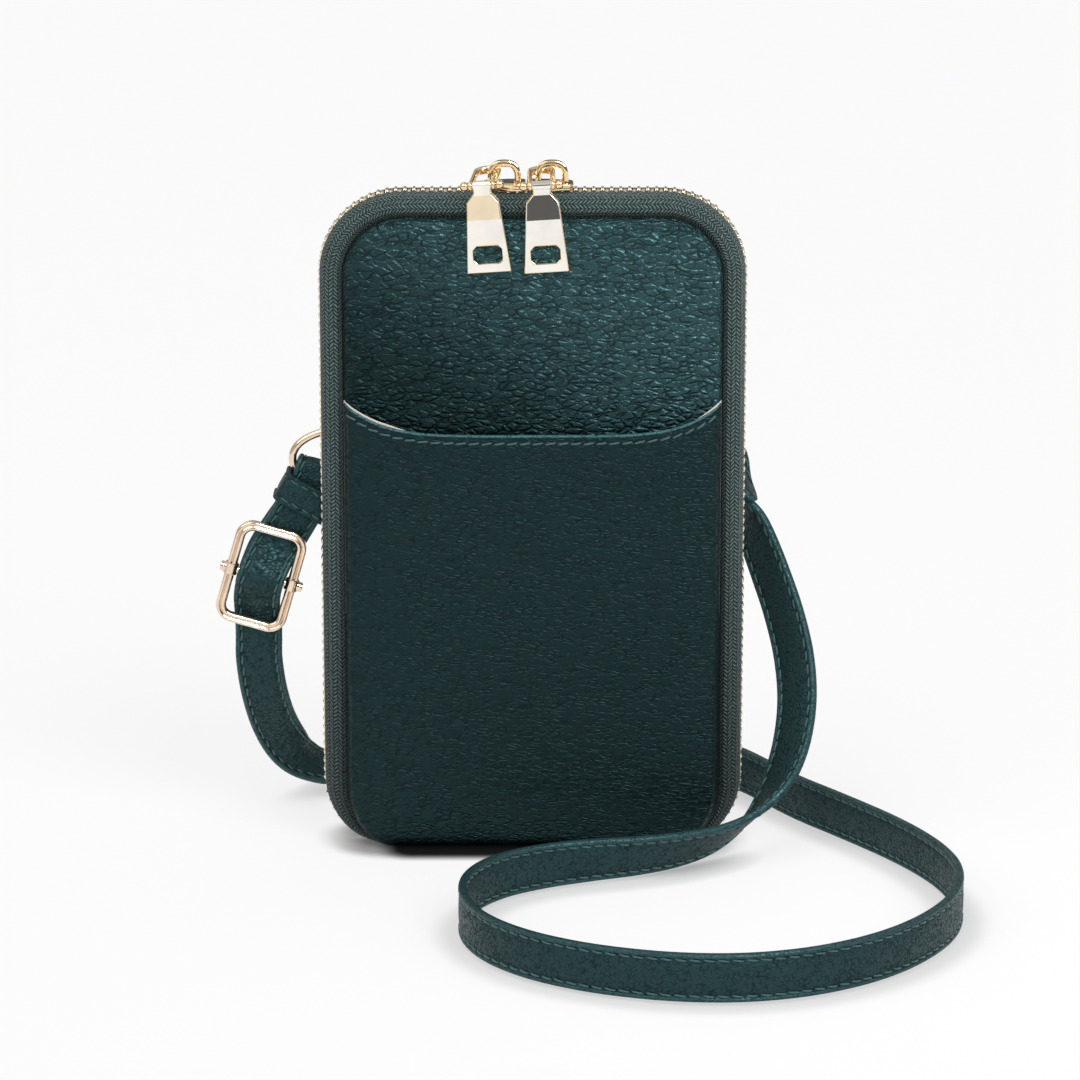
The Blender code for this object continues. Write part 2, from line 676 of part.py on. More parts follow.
def slider(side, look, home, cutters):
    """A slider: two plates with flanges, the post between them and the bridge on top.

    It is made with its head towards +X and its middle at the origin, then turned.
    """
    name = "slider_" + side
    half = SLIDER_LENGTH / 2
    channel_half = TOOTH_HEIGHT / 2 + GAP
    height = channel_half + SLIDER_PLATE
    narrow = BEAD_BACK + GAP
    wide = narrow + ROW_BOW
    taper_start = -half / 2
    taper_end = half / 8
    corner = SLIDER_FLANGE / 2
    body = mirrored([
        (half, wide + corner), (half - corner, wide + SLIDER_FLANGE),
        (taper_end, wide + SLIDER_FLANGE), (taper_start, narrow + SLIDER_FLANGE),
        (corner - half, narrow + SLIDER_FLANGE), (-half, narrow + corner),
    ])
    channel = mirrored([
        (half + OVERRUN, wide), (taper_end, wide),
        (taper_start, narrow), (-half - OVERRUN, narrow),
    ])
    slot_reach = wide + SLIDER_FLANGE + OVERRUN
    slot = mirrored([(half + OVERRUN, slot_reach), (-half - OVERRUN, slot_reach)])
    post = mirrored([
        (half - GAP, POST_HALF_WIDTH / 3), (half / 2, POST_HALF_WIDTH),
        (half / 4, POST_HALF_WIDTH / 3),
    ])
    made = add(name, prism(name, body, -height, height), look["gold"], home)
    cuts = (
        ("channel", prism(name + "_channel", channel, -channel_half, channel_half), "DIFFERENCE"),
        ("slot", prism(name + "_slot", slot, -TAPE_SLOT / 2, TAPE_SLOT / 2), "DIFFERENCE"),
        ("post", prism(name + "_post", post, -height + GAP, height - GAP), "UNION"),
        ("bridge", bridge(name + "_bridge", height), "UNION"),
    )
    turn = 0.0 if side == "left" else math.pi
    made.location = (slider_x(side), 0, TEETH_TOP)
    made.rotation_euler = (0, 0, turn)
    for word, mesh, operation in cuts:
        other = cutter(name + "_" + word + "_cutter", mesh, cutters)
        other.parent = made
        boolean(made, other, operation)
    return made


def bridge(name, height):
    """The arch on a slider's top plate that holds the link."""
    foot = height - SLIDER_PLATE / 2
    crown = height + ARCH_TOP - ARCH_WIRE
    rise = crown - height
    points = [(-ARCH_HALF_SPAN, 0, foot)]
    for x, z in arc((0, 0), 1, 180, 0, 12):
        points.append((ARCH_HALF_SPAN * x, 0, height + rise * abs(z) ** 0.7))
    points.append((ARCH_HALF_SPAN, 0, foot))
    return meshed(name, wire(name, points, ARCH_WIRE))


def slider_x(side):
    return SLIDERS_MIDDLE + SIDES[side] * SLIDERS_APART / 2


def slider_top():
    return TEETH_TOP + TOOTH_HEIGHT / 2 + GAP + SLIDER_PLATE


def link_pivot(side):
    """Where the link crosses the bridge: the point that it swings about."""
    post_x = slider_x(side) - ARCH_HALF_SPAN
    return Vector((post_x + LINK_SHIFTS[side], 0, slider_top() + LINK_HEIGHT / 2))


def link_frame(side, home):
    """An empty on the link's pivot, turned as the link lies."""
    frame = bpy.data.objects.new("link_pivot_" + side, None)
    frame.location = link_pivot(side)
    frame.rotation_euler = (0, LINK_ROLLS[side], LINK_YAWS[side])
    home.objects.link(frame)
    return frame


def pin_place():
    """The pull's pin in the link's frame, in front of the pivot and a little under it."""
    return Vector((0, -LINK_REACH * math.cos(LINK_DROP_ANGLE),
                   -LINK_REACH * math.sin(LINK_DROP_ANGLE)))


def link(side, look, home, cutters, frame):
    """A bent wire that goes round the bridge's left foot, with an eye on each end."""
    name = "link_" + side
    bend_centre = LINK_REACH + LINK_BEHIND - LINK_HALF_WIDTH
    flat = [(-LINK_HALF_WIDTH, 0)]
    flat += arc((0, bend_centre), LINK_HALF_WIDTH, 180, 0, 12)
    flat += [(LINK_HALF_WIDTH, 0)]
    lay = Matrix.Translation(pin_place()) @ Matrix.Rotation(LINK_DROP_ANGLE, 4, "X")
    mesh = meshed(name, wire(name, [(x, y, 0) for x, y in flat], LINK_WIRE), lay)
    made = add(name, mesh, look["gold"], home)
    made.parent = frame
    along_x = Matrix.Translation(pin_place()) @ Matrix.Rotation(math.radians(90), 4, "Y")
    for word, sign in (("near", -1), ("far", 1)):
        middle = sign * LINK_HALF_WIDTH
        eye = cylinder(name + "_eye_" + word, EYE_RADIUS, middle - EYE_WIDTH / 2,
                       middle + EYE_WIDTH / 2, along_x)
        part = cutter(name + "_eye_" + word + "_cutter", eye, cutters)
        part.parent = frame
        boolean(made, part, "UNION")
    reach = LINK_HALF_WIDTH + LINK_WIRE + OVERRUN
    bore = cutter(name + "_bore_cutter",
                  cylinder(name + "_bore", PIN_RADIUS + GAP / 2, -reach, reach, along_x), cutters)
    bore.parent = frame
    boolean(made, bore, "DIFFERENCE")
    return made


def pull_pin(side, look, home, cutters, frame):
    """The pin across the pull's neck, with a ball on each end."""
    name = "pull_pin_" + side
    along_x = Matrix.Translation(pin_place()) @ Matrix.Rotation(math.radians(90), 4, "Y")
    made = add(name, cylinder(name, PIN_RADIUS, -PIN_HALF_LENGTH, PIN_HALF_LENGTH, along_x),
               look["gold"], home)
    made.parent = frame
    beyond_eye = LINK_HALF_WIDTH + EYE_WIDTH / 2 + PIN_BALL
    for word, sign in (("near", -1), ("far", 1)):
        centre = pin_place() + Vector((sign * beyond_eye, 0, 0))
        head = cutter(name + "_" + word + "_cutter", ball(name + "_" + word, PIN_BALL, centre),
                      cutters)
        head.parent = frame
        boolean(made, head, "UNION")
    return made


def pull(side, look, home, cutters, frame):
    """The pull: a tapered plate with a slot near its foot, hung by a bored neck."""
    name = "pull_" + side
    outer = [
        (-PULL_FOOT, -PULL_LENGTH), (PULL_FOOT, -PULL_LENGTH),
        (PULL_SHOULDER, -PULL_SHOULDER_DROP), (PULL_NECK, -PULL_NECK_DROP), (PULL_NECK, 0),
        (-PULL_NECK, 0), (-PULL_NECK, -PULL_NECK_DROP), (-PULL_SHOULDER, -PULL_SHOULDER_DROP),
    ]
    slot_middle = -PULL_LENGTH + PULL_SLOT_ABOVE_FOOT
    half_height = PULL_SLOT_HEIGHT / 2
    inner = rounded_box(PULL_SLOT_WIDTH / 2, slot_middle - half_height,
                        slot_middle + half_height, PULL_SLOT_CORNER, PULL_SLOT_CORNER, 2)
    upright = Matrix.Translation(pin_place()) @ FACING_FRONT
    plate = meshed(name, flat_ring(name, outer, inner, PULL_THICKNESS / 2), upright)
    made = add(name, plate, look["gold"], home)
    made.parent = frame
    along_x = Matrix.Translation(pin_place()) @ Matrix.Rotation(math.radians(90), 4, "Y")
    barrel = cutter(name + "_barrel_cutter",
                    cylinder(name + "_barrel", PULL_BARREL, -PULL_NECK, PULL_NECK, along_x),
                    cutters)
    reach = PULL_NECK + OVERRUN
    bore = cutter(name + "_bore_cutter",
                  cylinder(name + "_bore", PIN_RADIUS + GAP / 2, -reach, reach, along_x), cutters)
    for part, operation in ((barrel, "UNION"), (bore, "DIFFERENCE")):
        part.parent = frame
        boolean(made, part, operation)
    return made


def ring_centre(side):
    return Vector((SIDES[side] * RING_BAR_X, RING_BAR_Y, RING_HEIGHT))


def ring(side, look, home):
    """A D-ring: a straight bar on its hinge axis and a round bow; it lies in XZ at rest."""
    name = "d_ring_" + side
    half_bar = RING_HALF_HEIGHT - RING_CORNER
    bow_line = arc((RING_CORNER, half_bar), RING_CORNER, 180, 90, 3)
    long_axis = RING_REACH - RING_CORNER
    for x, z in arc((0, 0), 1, 90, 0, 8)[1:]:
        bow_line.append((RING_CORNER + long_axis * x, RING_HALF_HEIGHT * z))
    lower = [(x, -z) for x, z in reversed(bow_line[:-1])]
    points = [(SIDES[side] * x, 0, z) for x, z in bow_line + lower]
    made = add(name, meshed(name, wire(name, points, RING_WIRE, closed=True)),
               look["gold"], home)
    made.location = ring_centre(side)
    made.rotation_euler = (0, 0, RING_TURNS[side])
    return made


def ring_tab(side, look, home, cutters):
    """A folded leather tab on the back panel, with the ring's bar in its fold."""
    name = "ring_tab_" + side
    inner = RING_WIRE + GAP
    outer = inner + TAB_LEATHER
    legs_top = -outer + 2 * TAB_LEATHER
    fold = arc((0, 0), outer, -90, TAB_FOLD_END, 16)
    outline = [(-TAB_TAIL, -outer)] + fold + [(-outer - TAB_LEATHER, legs_top),
                                             (-TAB_TAIL, legs_top)]
    outline = [(SIDES[side] * x, y) for x, y in outline]
    made = add(name, prism(name, outline, -TAB_HALF_HEIGHT, TAB_HALF_HEIGHT),
               look["leather"], home)
    made.location = ring_centre(side) + Vector((0, 0, TAB_LIFT))
    hole = cutter(name + "_fold_cutter",
                  cylinder(name + "_fold", inner, -TAB_HALF_HEIGHT - OVERRUN,
                           TAB_HALF_HEIGHT + OVERRUN), cutters)
    hole.parent = made
    boolean(made, hole, "DIFFERENCE")
    return made


def with_the_rings(place):
    """A place on the strap, moved out or in with the ring on its side."""
    share = min(max(place.x / ROUTES_BAR_X, -1), 1)
    return place + Vector((share * (RING_BAR_X - ROUTES_BAR_X), 0, 0))


def smooth_route(route):
    """Points and width directions on a smooth curve through a route's own points."""
    places = [with_the_rings(Vector(place) * MM) for place, _ in route]
    across = [Vector(direction) for _, direction in route]
    found = []
    for i in range(len(route) - 1):
        before, after = max(i - 1, 0), min(i + 2, len(route) - 1)
        for step in range(STEPS_BETWEEN_POINTS):
            t = step / STEPS_BETWEEN_POINTS
            found.append([blended(line[before], line[i], line[i + 1], line[after], t)
                          for line in (places, across)])
    found.append([places[-1], across[-1]])
    return found


def blended(a, b, c, d, t):
    """A point between b and c on the curve that passes smoothly through all four."""
    return (b * 2 + (c - a) * t + (a * 2 - b * 5 + c * 4 - d) * t * t
            + (b * 3 - a - c * 3 + d) * t**3) / 2


def strap(name, route, look, home):
    """A flat leather strap along a route, with its edges rounded off."""
    half_width = STRAP_WIDTH / 2
    half_thick = STRAP_THICKNESS / 2
    section = [
        (half_width - STRAP_EDGE, half_thick), (half_width, half_thick - STRAP_EDGE),
        (half_width, STRAP_EDGE - half_thick), (half_width - STRAP_EDGE, -half_thick),
    ]
    section += [(-a, b) for a, b in reversed(section)]
    stations = smooth_route(route)
    form = bmesh.new()
    loops = []
    for i, (place, across) in enumerate(stations):
        ahead = stations[min(i + 1, len(stations) - 1)][0] - stations[max(i - 1, 0)][0]
        ahead.normalize()
        wide = (across - ahead * across.dot(ahead)).normalized()
        out = ahead.cross(wide)
        loops.append([form.verts.new(place + wide * a + out * b) for a, b in section])
    for first, second in zip(loops, loops[1:]):
        for i in range(len(section)):
            j = (i + 1) % len(section)
            form.faces.new((first[i], first[j], second[j], second[i]))
    form.faces.new(loops[0])
    form.faces.new(loops[-1][::-1])
    bmesh.ops.recalc_face_normals(form, faces=form.faces)
    mesh = bpy.data.meshes.new(name)
    form.to_mesh(mesh)
    form.free()
    return add(name, shaded(mesh), look, home)


def strap_keeper(look, home):
    """The leather loop that holds the strap's two layers together under the ring."""
    name = "strap_keeper"
    half_width = STRAP_WIDTH / 2 + GAP
    half_depth = KEEPER_LAYERS / 2 + GAP
    outer_radius = KEEPER_WALL + STRAP_EDGE
    inner = rounded_box(half_width, -half_depth, half_depth, STRAP_EDGE, STRAP_EDGE, 2)
    outer = rounded_box(half_width + KEEPER_WALL, -half_depth - KEEPER_WALL,
                        half_depth + KEEPER_WALL, outer_radius, outer_radius, 4)
    mesh = meshed(name, flat_ring(name, outer, inner, KEEPER_HEIGHT / 2))
    made = add(name, mesh, look["strap_leather"], home)
    made.location = with_the_rings(KEEPER_CENTRE)
    made.rotation_euler = (0, KEEPER_TILT, 0)
    return made


def buckle_frame(look, home):
    """The slide buckle's frame: a round wire bent to a rounded oblong."""
    name = "buckle_frame"
    outline = rounded_box(BUCKLE_HALF_WIDTH, -BUCKLE_HALF_HEIGHT, BUCKLE_HALF_HEIGHT,
                          BUCKLE_CORNER, BUCKLE_CORNER, 5)
    points = [(x, 0, z) for x, z in outline]
    made = add(name, meshed(name, wire(name, points, BUCKLE_WIRE, closed=True)),
               look["gold"], home)
    made.location = with_the_rings(BUCKLE_CENTRE)
    made.rotation_euler = (0, BUCKLE_TILT, 0)
    return made


def buckle_bar(look, home, cutters):
    """The buckle's sliding bar, with a collar round each side rail."""
    name = "buckle_bar"
    along_x = Matrix.Rotation(math.radians(90), 4, "Y")
    made = add(name, cylinder(name, BAR_RADIUS, -BUCKLE_HALF_WIDTH, BUCKLE_HALF_WIDTH, along_x),
               look["gold"], home)
    made.location = with_the_rings(BUCKLE_CENTRE)
    made.rotation_euler = (0, BUCKLE_TILT, 0)
    for word, radius, reach, operation in (
        ("collar", COLLAR_RADIUS, COLLAR_LENGTH / 2, "UNION"),
        ("bore", COLLAR_BORE, COLLAR_LENGTH / 2 + OVERRUN, "DIFFERENCE"),
    ):
        for side, sign in SIDES.items():
            rail = Matrix.Translation((sign * BUCKLE_HALF_WIDTH, 0, 0))
            part_name = "_".join((name, word, side))
            part = cutter(part_name + "_cutter",
                          cylinder(part_name, radius, -reach, reach, rail), cutters)
            part.parent = made
            boolean(made, part, operation)
    return made


def main():
    clear_scene()
    look = materials()
    home = collection("crossbody_wallet")
    cutters = collection("cutters", hidden=True)
    back_shell(look, home)
    base_panel(look, home)
    front_shell(look, home)
    for side in SIDES:
        zip_stop(side, look, home)
        slider(side, look, home, cutters)
        frame = link_frame(side, home)
        link(side, look, home, cutters, frame)
        pull_pin(side, look, home, cutters, frame)
        pull(side, look, home, cutters, frame)
        ring(side, look, home)
        ring_tab(side, look, home, cutters)
    strap("strap_left_end", LEFT_END_ROUTE, look["strap_leather"], home)
    strap("strap", STRAP_ROUTE, look["strap_leather"], home)
    strap("strap_right_end", RIGHT_END_ROUTE, look["strap_leather"], home)
    strap_keeper(look, home)
    buckle_frame(look, home)
    buckle_bar(look, home, cutters)


main()
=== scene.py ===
"""The looks of a zip-round crossbody wallet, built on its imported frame.

Metres, +Z up, the front of the case towards -Y, and the origin under the middle of the case.
"""

import json
import math

import bmesh
import bpy
import numpy as np
from mathutils import Matrix, Vector

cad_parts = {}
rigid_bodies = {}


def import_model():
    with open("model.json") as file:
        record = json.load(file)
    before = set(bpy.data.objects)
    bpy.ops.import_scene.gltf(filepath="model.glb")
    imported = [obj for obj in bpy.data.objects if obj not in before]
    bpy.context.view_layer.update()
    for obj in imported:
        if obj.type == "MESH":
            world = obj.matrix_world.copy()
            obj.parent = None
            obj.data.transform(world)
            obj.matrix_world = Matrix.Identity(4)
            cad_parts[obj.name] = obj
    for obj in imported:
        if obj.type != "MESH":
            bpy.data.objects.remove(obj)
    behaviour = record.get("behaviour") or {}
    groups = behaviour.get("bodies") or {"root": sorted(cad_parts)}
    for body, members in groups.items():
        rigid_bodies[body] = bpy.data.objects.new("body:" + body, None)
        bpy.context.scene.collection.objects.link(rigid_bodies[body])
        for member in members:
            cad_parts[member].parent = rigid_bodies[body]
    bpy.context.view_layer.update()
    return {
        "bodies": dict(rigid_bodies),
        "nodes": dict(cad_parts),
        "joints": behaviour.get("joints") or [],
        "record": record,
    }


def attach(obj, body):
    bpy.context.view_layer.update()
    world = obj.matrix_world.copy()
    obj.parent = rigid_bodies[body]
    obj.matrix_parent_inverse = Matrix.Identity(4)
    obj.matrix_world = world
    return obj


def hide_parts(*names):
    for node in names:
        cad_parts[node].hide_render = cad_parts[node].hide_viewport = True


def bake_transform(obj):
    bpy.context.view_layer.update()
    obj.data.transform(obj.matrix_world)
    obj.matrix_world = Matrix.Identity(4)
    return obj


MM = 0.001
SIDES = {"left": -1, "right": 1}
X_AXIS = Vector((1, 0, 0))
Y_AXIS = Vector((0, 1, 0))
Z_AXIS = Vector((0, 0, 1))

# The case, as in the frame
TEETH_HALF_WIDTH = 57.2 * MM
TEETH_TOP = 183.0 * MM
TEETH_BOTTOM = 2.6 * MM
TEETH_TOP_RADIUS = 22.0 * MM
TEETH_BOTTOM_RADIUS = 16.0 * MM
PANEL_INSET = 5.9 * MM
PANEL_BOTTOM = 0.25 * MM
CORNER_WIDTH = 12.0 * MM
CORNER_HEIGHT = 18.0 * MM
CORNER_SAG = 1.9 * MM
SEAM_CORNER_RADIUS = 13.0 * MM
SEAM_ALLOWANCE = 3.0 * MM
LIP_HEIGHT = 118.4 * MM
LIP_RISE = 8.7 * MM
LIP_POWER = 5
PANEL_HALF_WIDTH = TEETH_HALF_WIDTH - PANEL_INSET
PANEL_TOP = TEETH_TOP - PANEL_INSET
PANEL_TOP_RADIUS = TEETH_TOP_RADIUS - PANEL_INSET
SEAM_LIFT = 0.3 * MM

# The depth of each layer from the plane of the teeth
SEAM_DEPTH = 7.7 * MM
PANEL_RISE = 2.5 * MM
PANEL_EDGE = 1.3 * MM
PANEL_CROWN = 1.1 * MM
CROWN_REACH = 15.0 * MM
PANEL_WAVES = 0.25 * MM
PANEL_DRAW_IN = 1.3 * MM
DRAW_IN_ABOVE_LIP = 16.0 * MM
DRAW_IN_FROM_EDGE = 9.0 * MM
POCKET_SEAM = 8.5 * MM
POCKET_RISE = 3.1 * MM
POCKET_EDGE = 1.9 * MM
POCKET_THICKNESS = 1.2 * MM
POCKET_WAVES = 0.22 * MM
POCKET_WAVES_SHIFT = 20.0 * MM
POCKET_FOOT_GAP = 0.02 * MM
MOUTH_BULGE = 0.5 * MM
BULGE_BELOW_LIP = 25.0 * MM
BULGE_FROM_EDGE = 20.0 * MM
LIP_SETTLES = 0.6 * MM
LIP_LINING_SPAN = 0.992
LIP_LINING_SHOWS = 0.85 * MM
LIP_LINING_BELOW = 0.35 * MM
LIP_LINING_GROWS = 9.0 * MM
LIP_LINING_FADES = 2.5 * MM
LIP_LINING_THICKNESS = 0.35 * MM
LIP_STITCH_DROP = 2.35 * MM
LIP_STITCH_PROUD = 0.02 * MM
LIP_STITCH_ENDS = 1.2 * MM
LIP_STITCH_START = 1.5 * MM
LIP_STITCH_PITCH = 3.45 * MM
LIP_STITCH_HALF_LENGTH = 1.5 * MM
LIP_STITCH_SLANT = -0.16
LINING_SHOWS_FROM = {"left": 31.0 * MM, "right": 41.0 * MM}
LINING_DEPTH = 6.3 * MM
LINING_INSET = 3.7 * MM
LINING_WAVES = 0.1 * MM
LINING_THICKNESS = 0.3 * MM
LINING_MIDDLE = (50 * MM, 130 * MM)
BASE_THICKNESS = 1.8 * MM
BASE_HALF_DEPTH = 6.4 * MM
BASE_EDGE = 0.45 * MM
BASE_GAP = 0.3 * MM

# The top of each card slot and its depth behind the plane of the teeth
CARD_SLOTS = {
    "card_slot_upper": (102 * MM, 5.15 * MM),
    "card_slot_middle": (84 * MM, 4.25 * MM),
    "card_slot_lower": (66 * MM, 3.35 * MM),
}
SLOT_FLOOR = 14 * MM
SLOT_THICKNESS = 0.6 * MM
SLOT_FOOT = 6 * MM
SLOT_HEM = 2.2 * MM
SLOT_STITCH_PROUD = 0.1 * MM
SLOT_STITCH_PITCH = 3.2 * MM
SLOT_STITCH = (1.2 * MM, 0.16 * MM, 0.05)

# Stitches, but for those with a size of their own
STITCH_HALF_LENGTH = 1.45 * MM
STITCH_RADIUS = 0.27 * MM
STITCH_SLANT = 0.12

# The leathers: each has its colour, the painted highlight colour of its highest places, its cells
# in a metre along each axis, its relief, roughness and shine, the depth of its faintest creases,
# and for the front where its painted light and shade run
CELL_FLANK = 0.3
CREASE_SHADE = 0.12
GROOVE_REACH = 2.4 * MM
# Painted light and shade on the front leather: dark towards the pocket's lip, full colour and shine
# at the top right
PAINTED_LIGHT_ON_FRONT_LEATHER = (Vector((-0.02, 0, 0.118)), Vector((0.012, 0, 0.166)))
LEATHERS = {
    "leather": ("pebbled_leather", (0.0036, 0.0094, 0.0099), (0.0116, 0.0305, 0.0320),
                (330, 690, 620), 0.62 * MM, 0.21, 0.8, 0.3, PAINTED_LIGHT_ON_FRONT_LEATHER),
    # the pocket's leather is painted darker than the front's, as painted shade on the lower front;
    # its cells are smaller and shallower
    "pocket": ("pocket_leather", (0.0021, 0.0044, 0.0047), (0.0043, 0.0089, 0.0095),
               (400, 1000, 900), 0.26 * MM, 0.31, 0.34, 0.0),
    "back": ("back_leather", (0.0050, 0.0120, 0.0127), (0.0105, 0.0275, 0.0288),
             (330, 690, 620), 0.5 * MM, 0.30, 0.5, 0.3),
    "strap": ("strap_leather", (0.0080, 0.0190, 0.0204), (0.0112, 0.0272, 0.0291),
              (700, 900, 900), 0.2 * MM, 0.36, 0.4, 0.2),
    # the strap's edge bands: smoother and shinier, and painted lighter as a painted highlight along
    # the rounded edges
    "strap_edge": ("strap_edge_leather", (0.0095, 0.0225, 0.0245), (0.019, 0.048, 0.052),
                   (900, 900, 1400), 0.12 * MM, 0.30, 0.7, 0.2),
    # the lip's rolled edge: painted much lighter than the pocket, a painted highlight along it
    "lip": ("lip_leather", (0.026, 0.066, 0.071), (0.048, 0.120, 0.128),
            (900, 900, 900), 0.04 * MM, 0.35, 0.5, 0.3),
}

# The cloths, with their pitch; the threads; the metals, with their roughness and wear
CLOTHS = {
    "lining": ("lining_cloth", (0.60, 0.53, 0.47), 0.5 * MM),
    "slots": ("slot_cloth", (0.52, 0.46, 0.41), 0.42 * MM),
}
THREADS = {
    "thread": ("thread", (0.020, 0.100, 0.102)),
    "pale_thread": ("pale_thread", (0.45, 0.40, 0.35)),
}
METALS = {
    "gold": ("pale_gold", (0.95, 0.73, 0.45), 0.08, 0.08),
    "rose": ("rose_gold", (0.93, 0.74, 0.58), 0.10, 0.08),
    "polished": ("polished_gold", (1.0, 0.96, 0.89), 0.06, 0.06),
    "teeth": ("teeth_gold", (0.95, 0.86, 0.70), 0.2, 0.12),
}
TAPE_BAND = 1.3 * MM
TAPE_RIB = 1.08 * MM
TAPE_PAINTED_SHADE_HEIGHT = 110 * MM  # painted shade: the tape is painted darker towards the floor, up to this height
TAPE_RELIEF = 0.3 * MM
CLOTH_RELIEF = 0.08 * MM
THREAD_RELIEF = 0.05 * MM
METAL_RELIEF = 0.01 * MM
BOARD_RELIEF = 0.05 * MM

# The zip
TAPE_EDGE = 2.5 * MM
TAPE_THICKNESS = 0.55 * MM
TOOTH_PITCH = 2.42 * MM
TEETH_LEFT_OFF = 4  # at each end, where the zip has gone under the case
ROW_BOW = 1.3 * MM
BOW_FADES = 3.0 * MM
SLIDERS_MIDDLE = -1.2 * MM
SLIDERS_APART = 12.8 * MM
SLIDER_LENGTH = 11.6 * MM
SLIDER_CHANNEL = 1.25 * MM
SLIDER_PLATE = 1.1 * MM
SLIDER_FLANGE = 1.2 * MM
SLIDER_NARROW = 2.7 * MM
SLIDER_WIDE = 4.0 * MM
SLIDER_NOSE = (0.6 * MM, 0.5 * MM)
SLIDER_TAIL = (0.9 * MM, 0.2 * MM)
SLIDER_EDGE = 0.32 * MM
SLIDER_WALL_LAP = 0.2 * MM
SLIDER_WALL_EDGE = 0.12 * MM
POST_BACK = 0.3 * MM
POST_TIP = 0.17 * MM
POST_HALF_WIDTH = 0.5 * MM
TAPE_SLOT = 1.5 * MM
ARCH_HALF_SPAN = 3.6 * MM
ARCH_RISE = 5.1 * MM
ARCH_HALF_WIDTH = 1.3 * MM
ARCH_HALF_THICKNESS = 0.95 * MM

# The links and pulls
LINK_HEIGHT = 2.5 * MM
LINK_REACH = 11.57 * MM
LINK_DROP_ANGLE = math.radians(6.5)
LINK_HALF_WIDTH = 3.1 * MM
LINK_BEHIND = 3.0 * MM
LINK_SHIFTS = {"left": -1.0 * MM, "right": 0.7 * MM}
LINK_ROLLS = {"left": math.radians(-5), "right": math.radians(-3.5)}
LINK_YAWS = {"left": math.radians(-7), "right": 0.0}
LINK_WIRE = (1.15 * MM, 0.8 * MM)
EYE_HALF_LENGTH = 0.4 * MM
EYE_HOLE = 0.75 * MM
EYE_RADIUS = 1.35 * MM
EYE_CHAMFER = 0.15 * MM
PIN_BALL_MIDDLE = 4.75 * MM
PIN_BALL_RADIUS = 1.25 * MM
PULL_LENGTH = 23.6 * MM
PULL_THICKNESS = 1.7 * MM
PULL_NECK = 2.4 * MM
PULL_SHOULDER = 4.5 * MM
PULL_FOOT = 6.0 * MM
PULL_NECK_DROP = 2.0 * MM
PULL_SHOULDER_DROP = 4.4 * MM
PULL_EDGE = 0.28 * MM
PULL_SLOT_HALF_WIDTH = 3.9 * MM
PULL_SLOT_HALF_HEIGHT = 2.35 * MM
PULL_SLOT_FROM_FOOT = 4.9 * MM
BARREL_HOLE = 0.75 * MM
BARREL_RADIUS = 1.3 * MM
BARREL_CHAMFER = (0.15 * MM, 0.1 * MM)
FACET_PROUD = 1.1 * MM
FACET_SUNK = 0.3 * MM
FACET_EDGE = 0.08 * MM

# The facet's half-width and its drop under the pin, at its top, its shoulder and its foot
FACET_TOP = (2.3 * MM, PULL_NECK_DROP + 0.4 * MM)
FACET_SHOULDER = (4.15 * MM, PULL_SHOULDER_DROP + 0.2 * MM)
FACET_FOOT = (4.5 * MM, 9.1 * MM)

# The rings
RING_BAR_X = 50.8 * MM
RING_BAR_Y = 13.0 * MM
RING_HEIGHT = 105.6 * MM
RING_HALF_HEIGHT = 8.05 * MM
RING_REACH = 15.5 * MM
RING_CORNER = 1.5 * MM
RING_WIRE = 1.1 * MM
RING_TURNS = {"left": 0.0, "right": math.radians(65)}
RING_GAP = 0.3 * MM
TAB_LIFT = 2.2 * MM
TAB_HALF_HEIGHT = 4.1 * MM
TAB_TAIL = 12.8 * MM
TAB_LEATHER = 1.1 * MM
TAB_NIP = (-2.6 * MM, 0.7 * MM)
TAB_INNER_POINTS = (-4.4 * MM, -8.0 * MM)
TAB_STITCH_HALF_LENGTH = 1.1 * MM
TAB_STITCH_START = 5.5 * MM
TAB_STITCH_PITCH = 3.0 * MM
TAB_END_STITCHES = 12.2 * MM

# The strap, its keeper and its buckle
STRAP_WIDTH = 13.0 * MM
STRAP_THICKNESS = 2.2 * MM
STRAP_EDGE_BAND = 1.4 * MM
STRAP_STITCH_PITCH = 3.6 * MM
STRAP_STITCH_INSET = 1.75 * MM
KEEPER_CENTRE = Vector((-62.7, 13.0, 95.0)) * MM
KEEPER_TILT = math.radians(29.7)
KEEPER_HEIGHT = 8.5 * MM
KEEPER_HALF_DEPTH = 4.9 * MM
KEEPER_ROOM = 0.75 * MM
KEEPER_CORNER = 1.6 * MM
KEEPER_HALF_THICKNESS = 0.6 * MM
KEEPER_STITCH_INSET = 1.35 * MM
KEEPER_STITCH_START = -4.9 * MM
KEEPER_STITCH_PITCH = 3.25 * MM
KEEPER_STITCH_PROUD = 0.42 * MM
KEEPER_STITCH = (1.3 * MM, 0.26 * MM)
BUCKLE_CENTRE = Vector((-75.1, 7.65, 73.3)) * MM
BUCKLE_TILT = math.radians(16.3)
BUCKLE_HALF_WIDTH = 8.7 * MM
BUCKLE_HALF_HEIGHT = 13.45 * MM
BUCKLE_CORNER = 3.6 * MM
BUCKLE_WIRE = 1.5 * MM
BAR_RADIUS = 1.0 * MM
BAR_END_RADIUS = 1.35 * MM
BAR_CHAMFER = 0.2 * MM
BAR_NECK = 1.3 * MM
BAR_END = 3.0 * MM
COLLAR_HALF_LENGTH = 1.7 * MM
COLLAR_HOLE = 1.3 * MM
COLLAR_RADIUS = 1.95 * MM
COLLAR_CHAMFER = 0.25 * MM

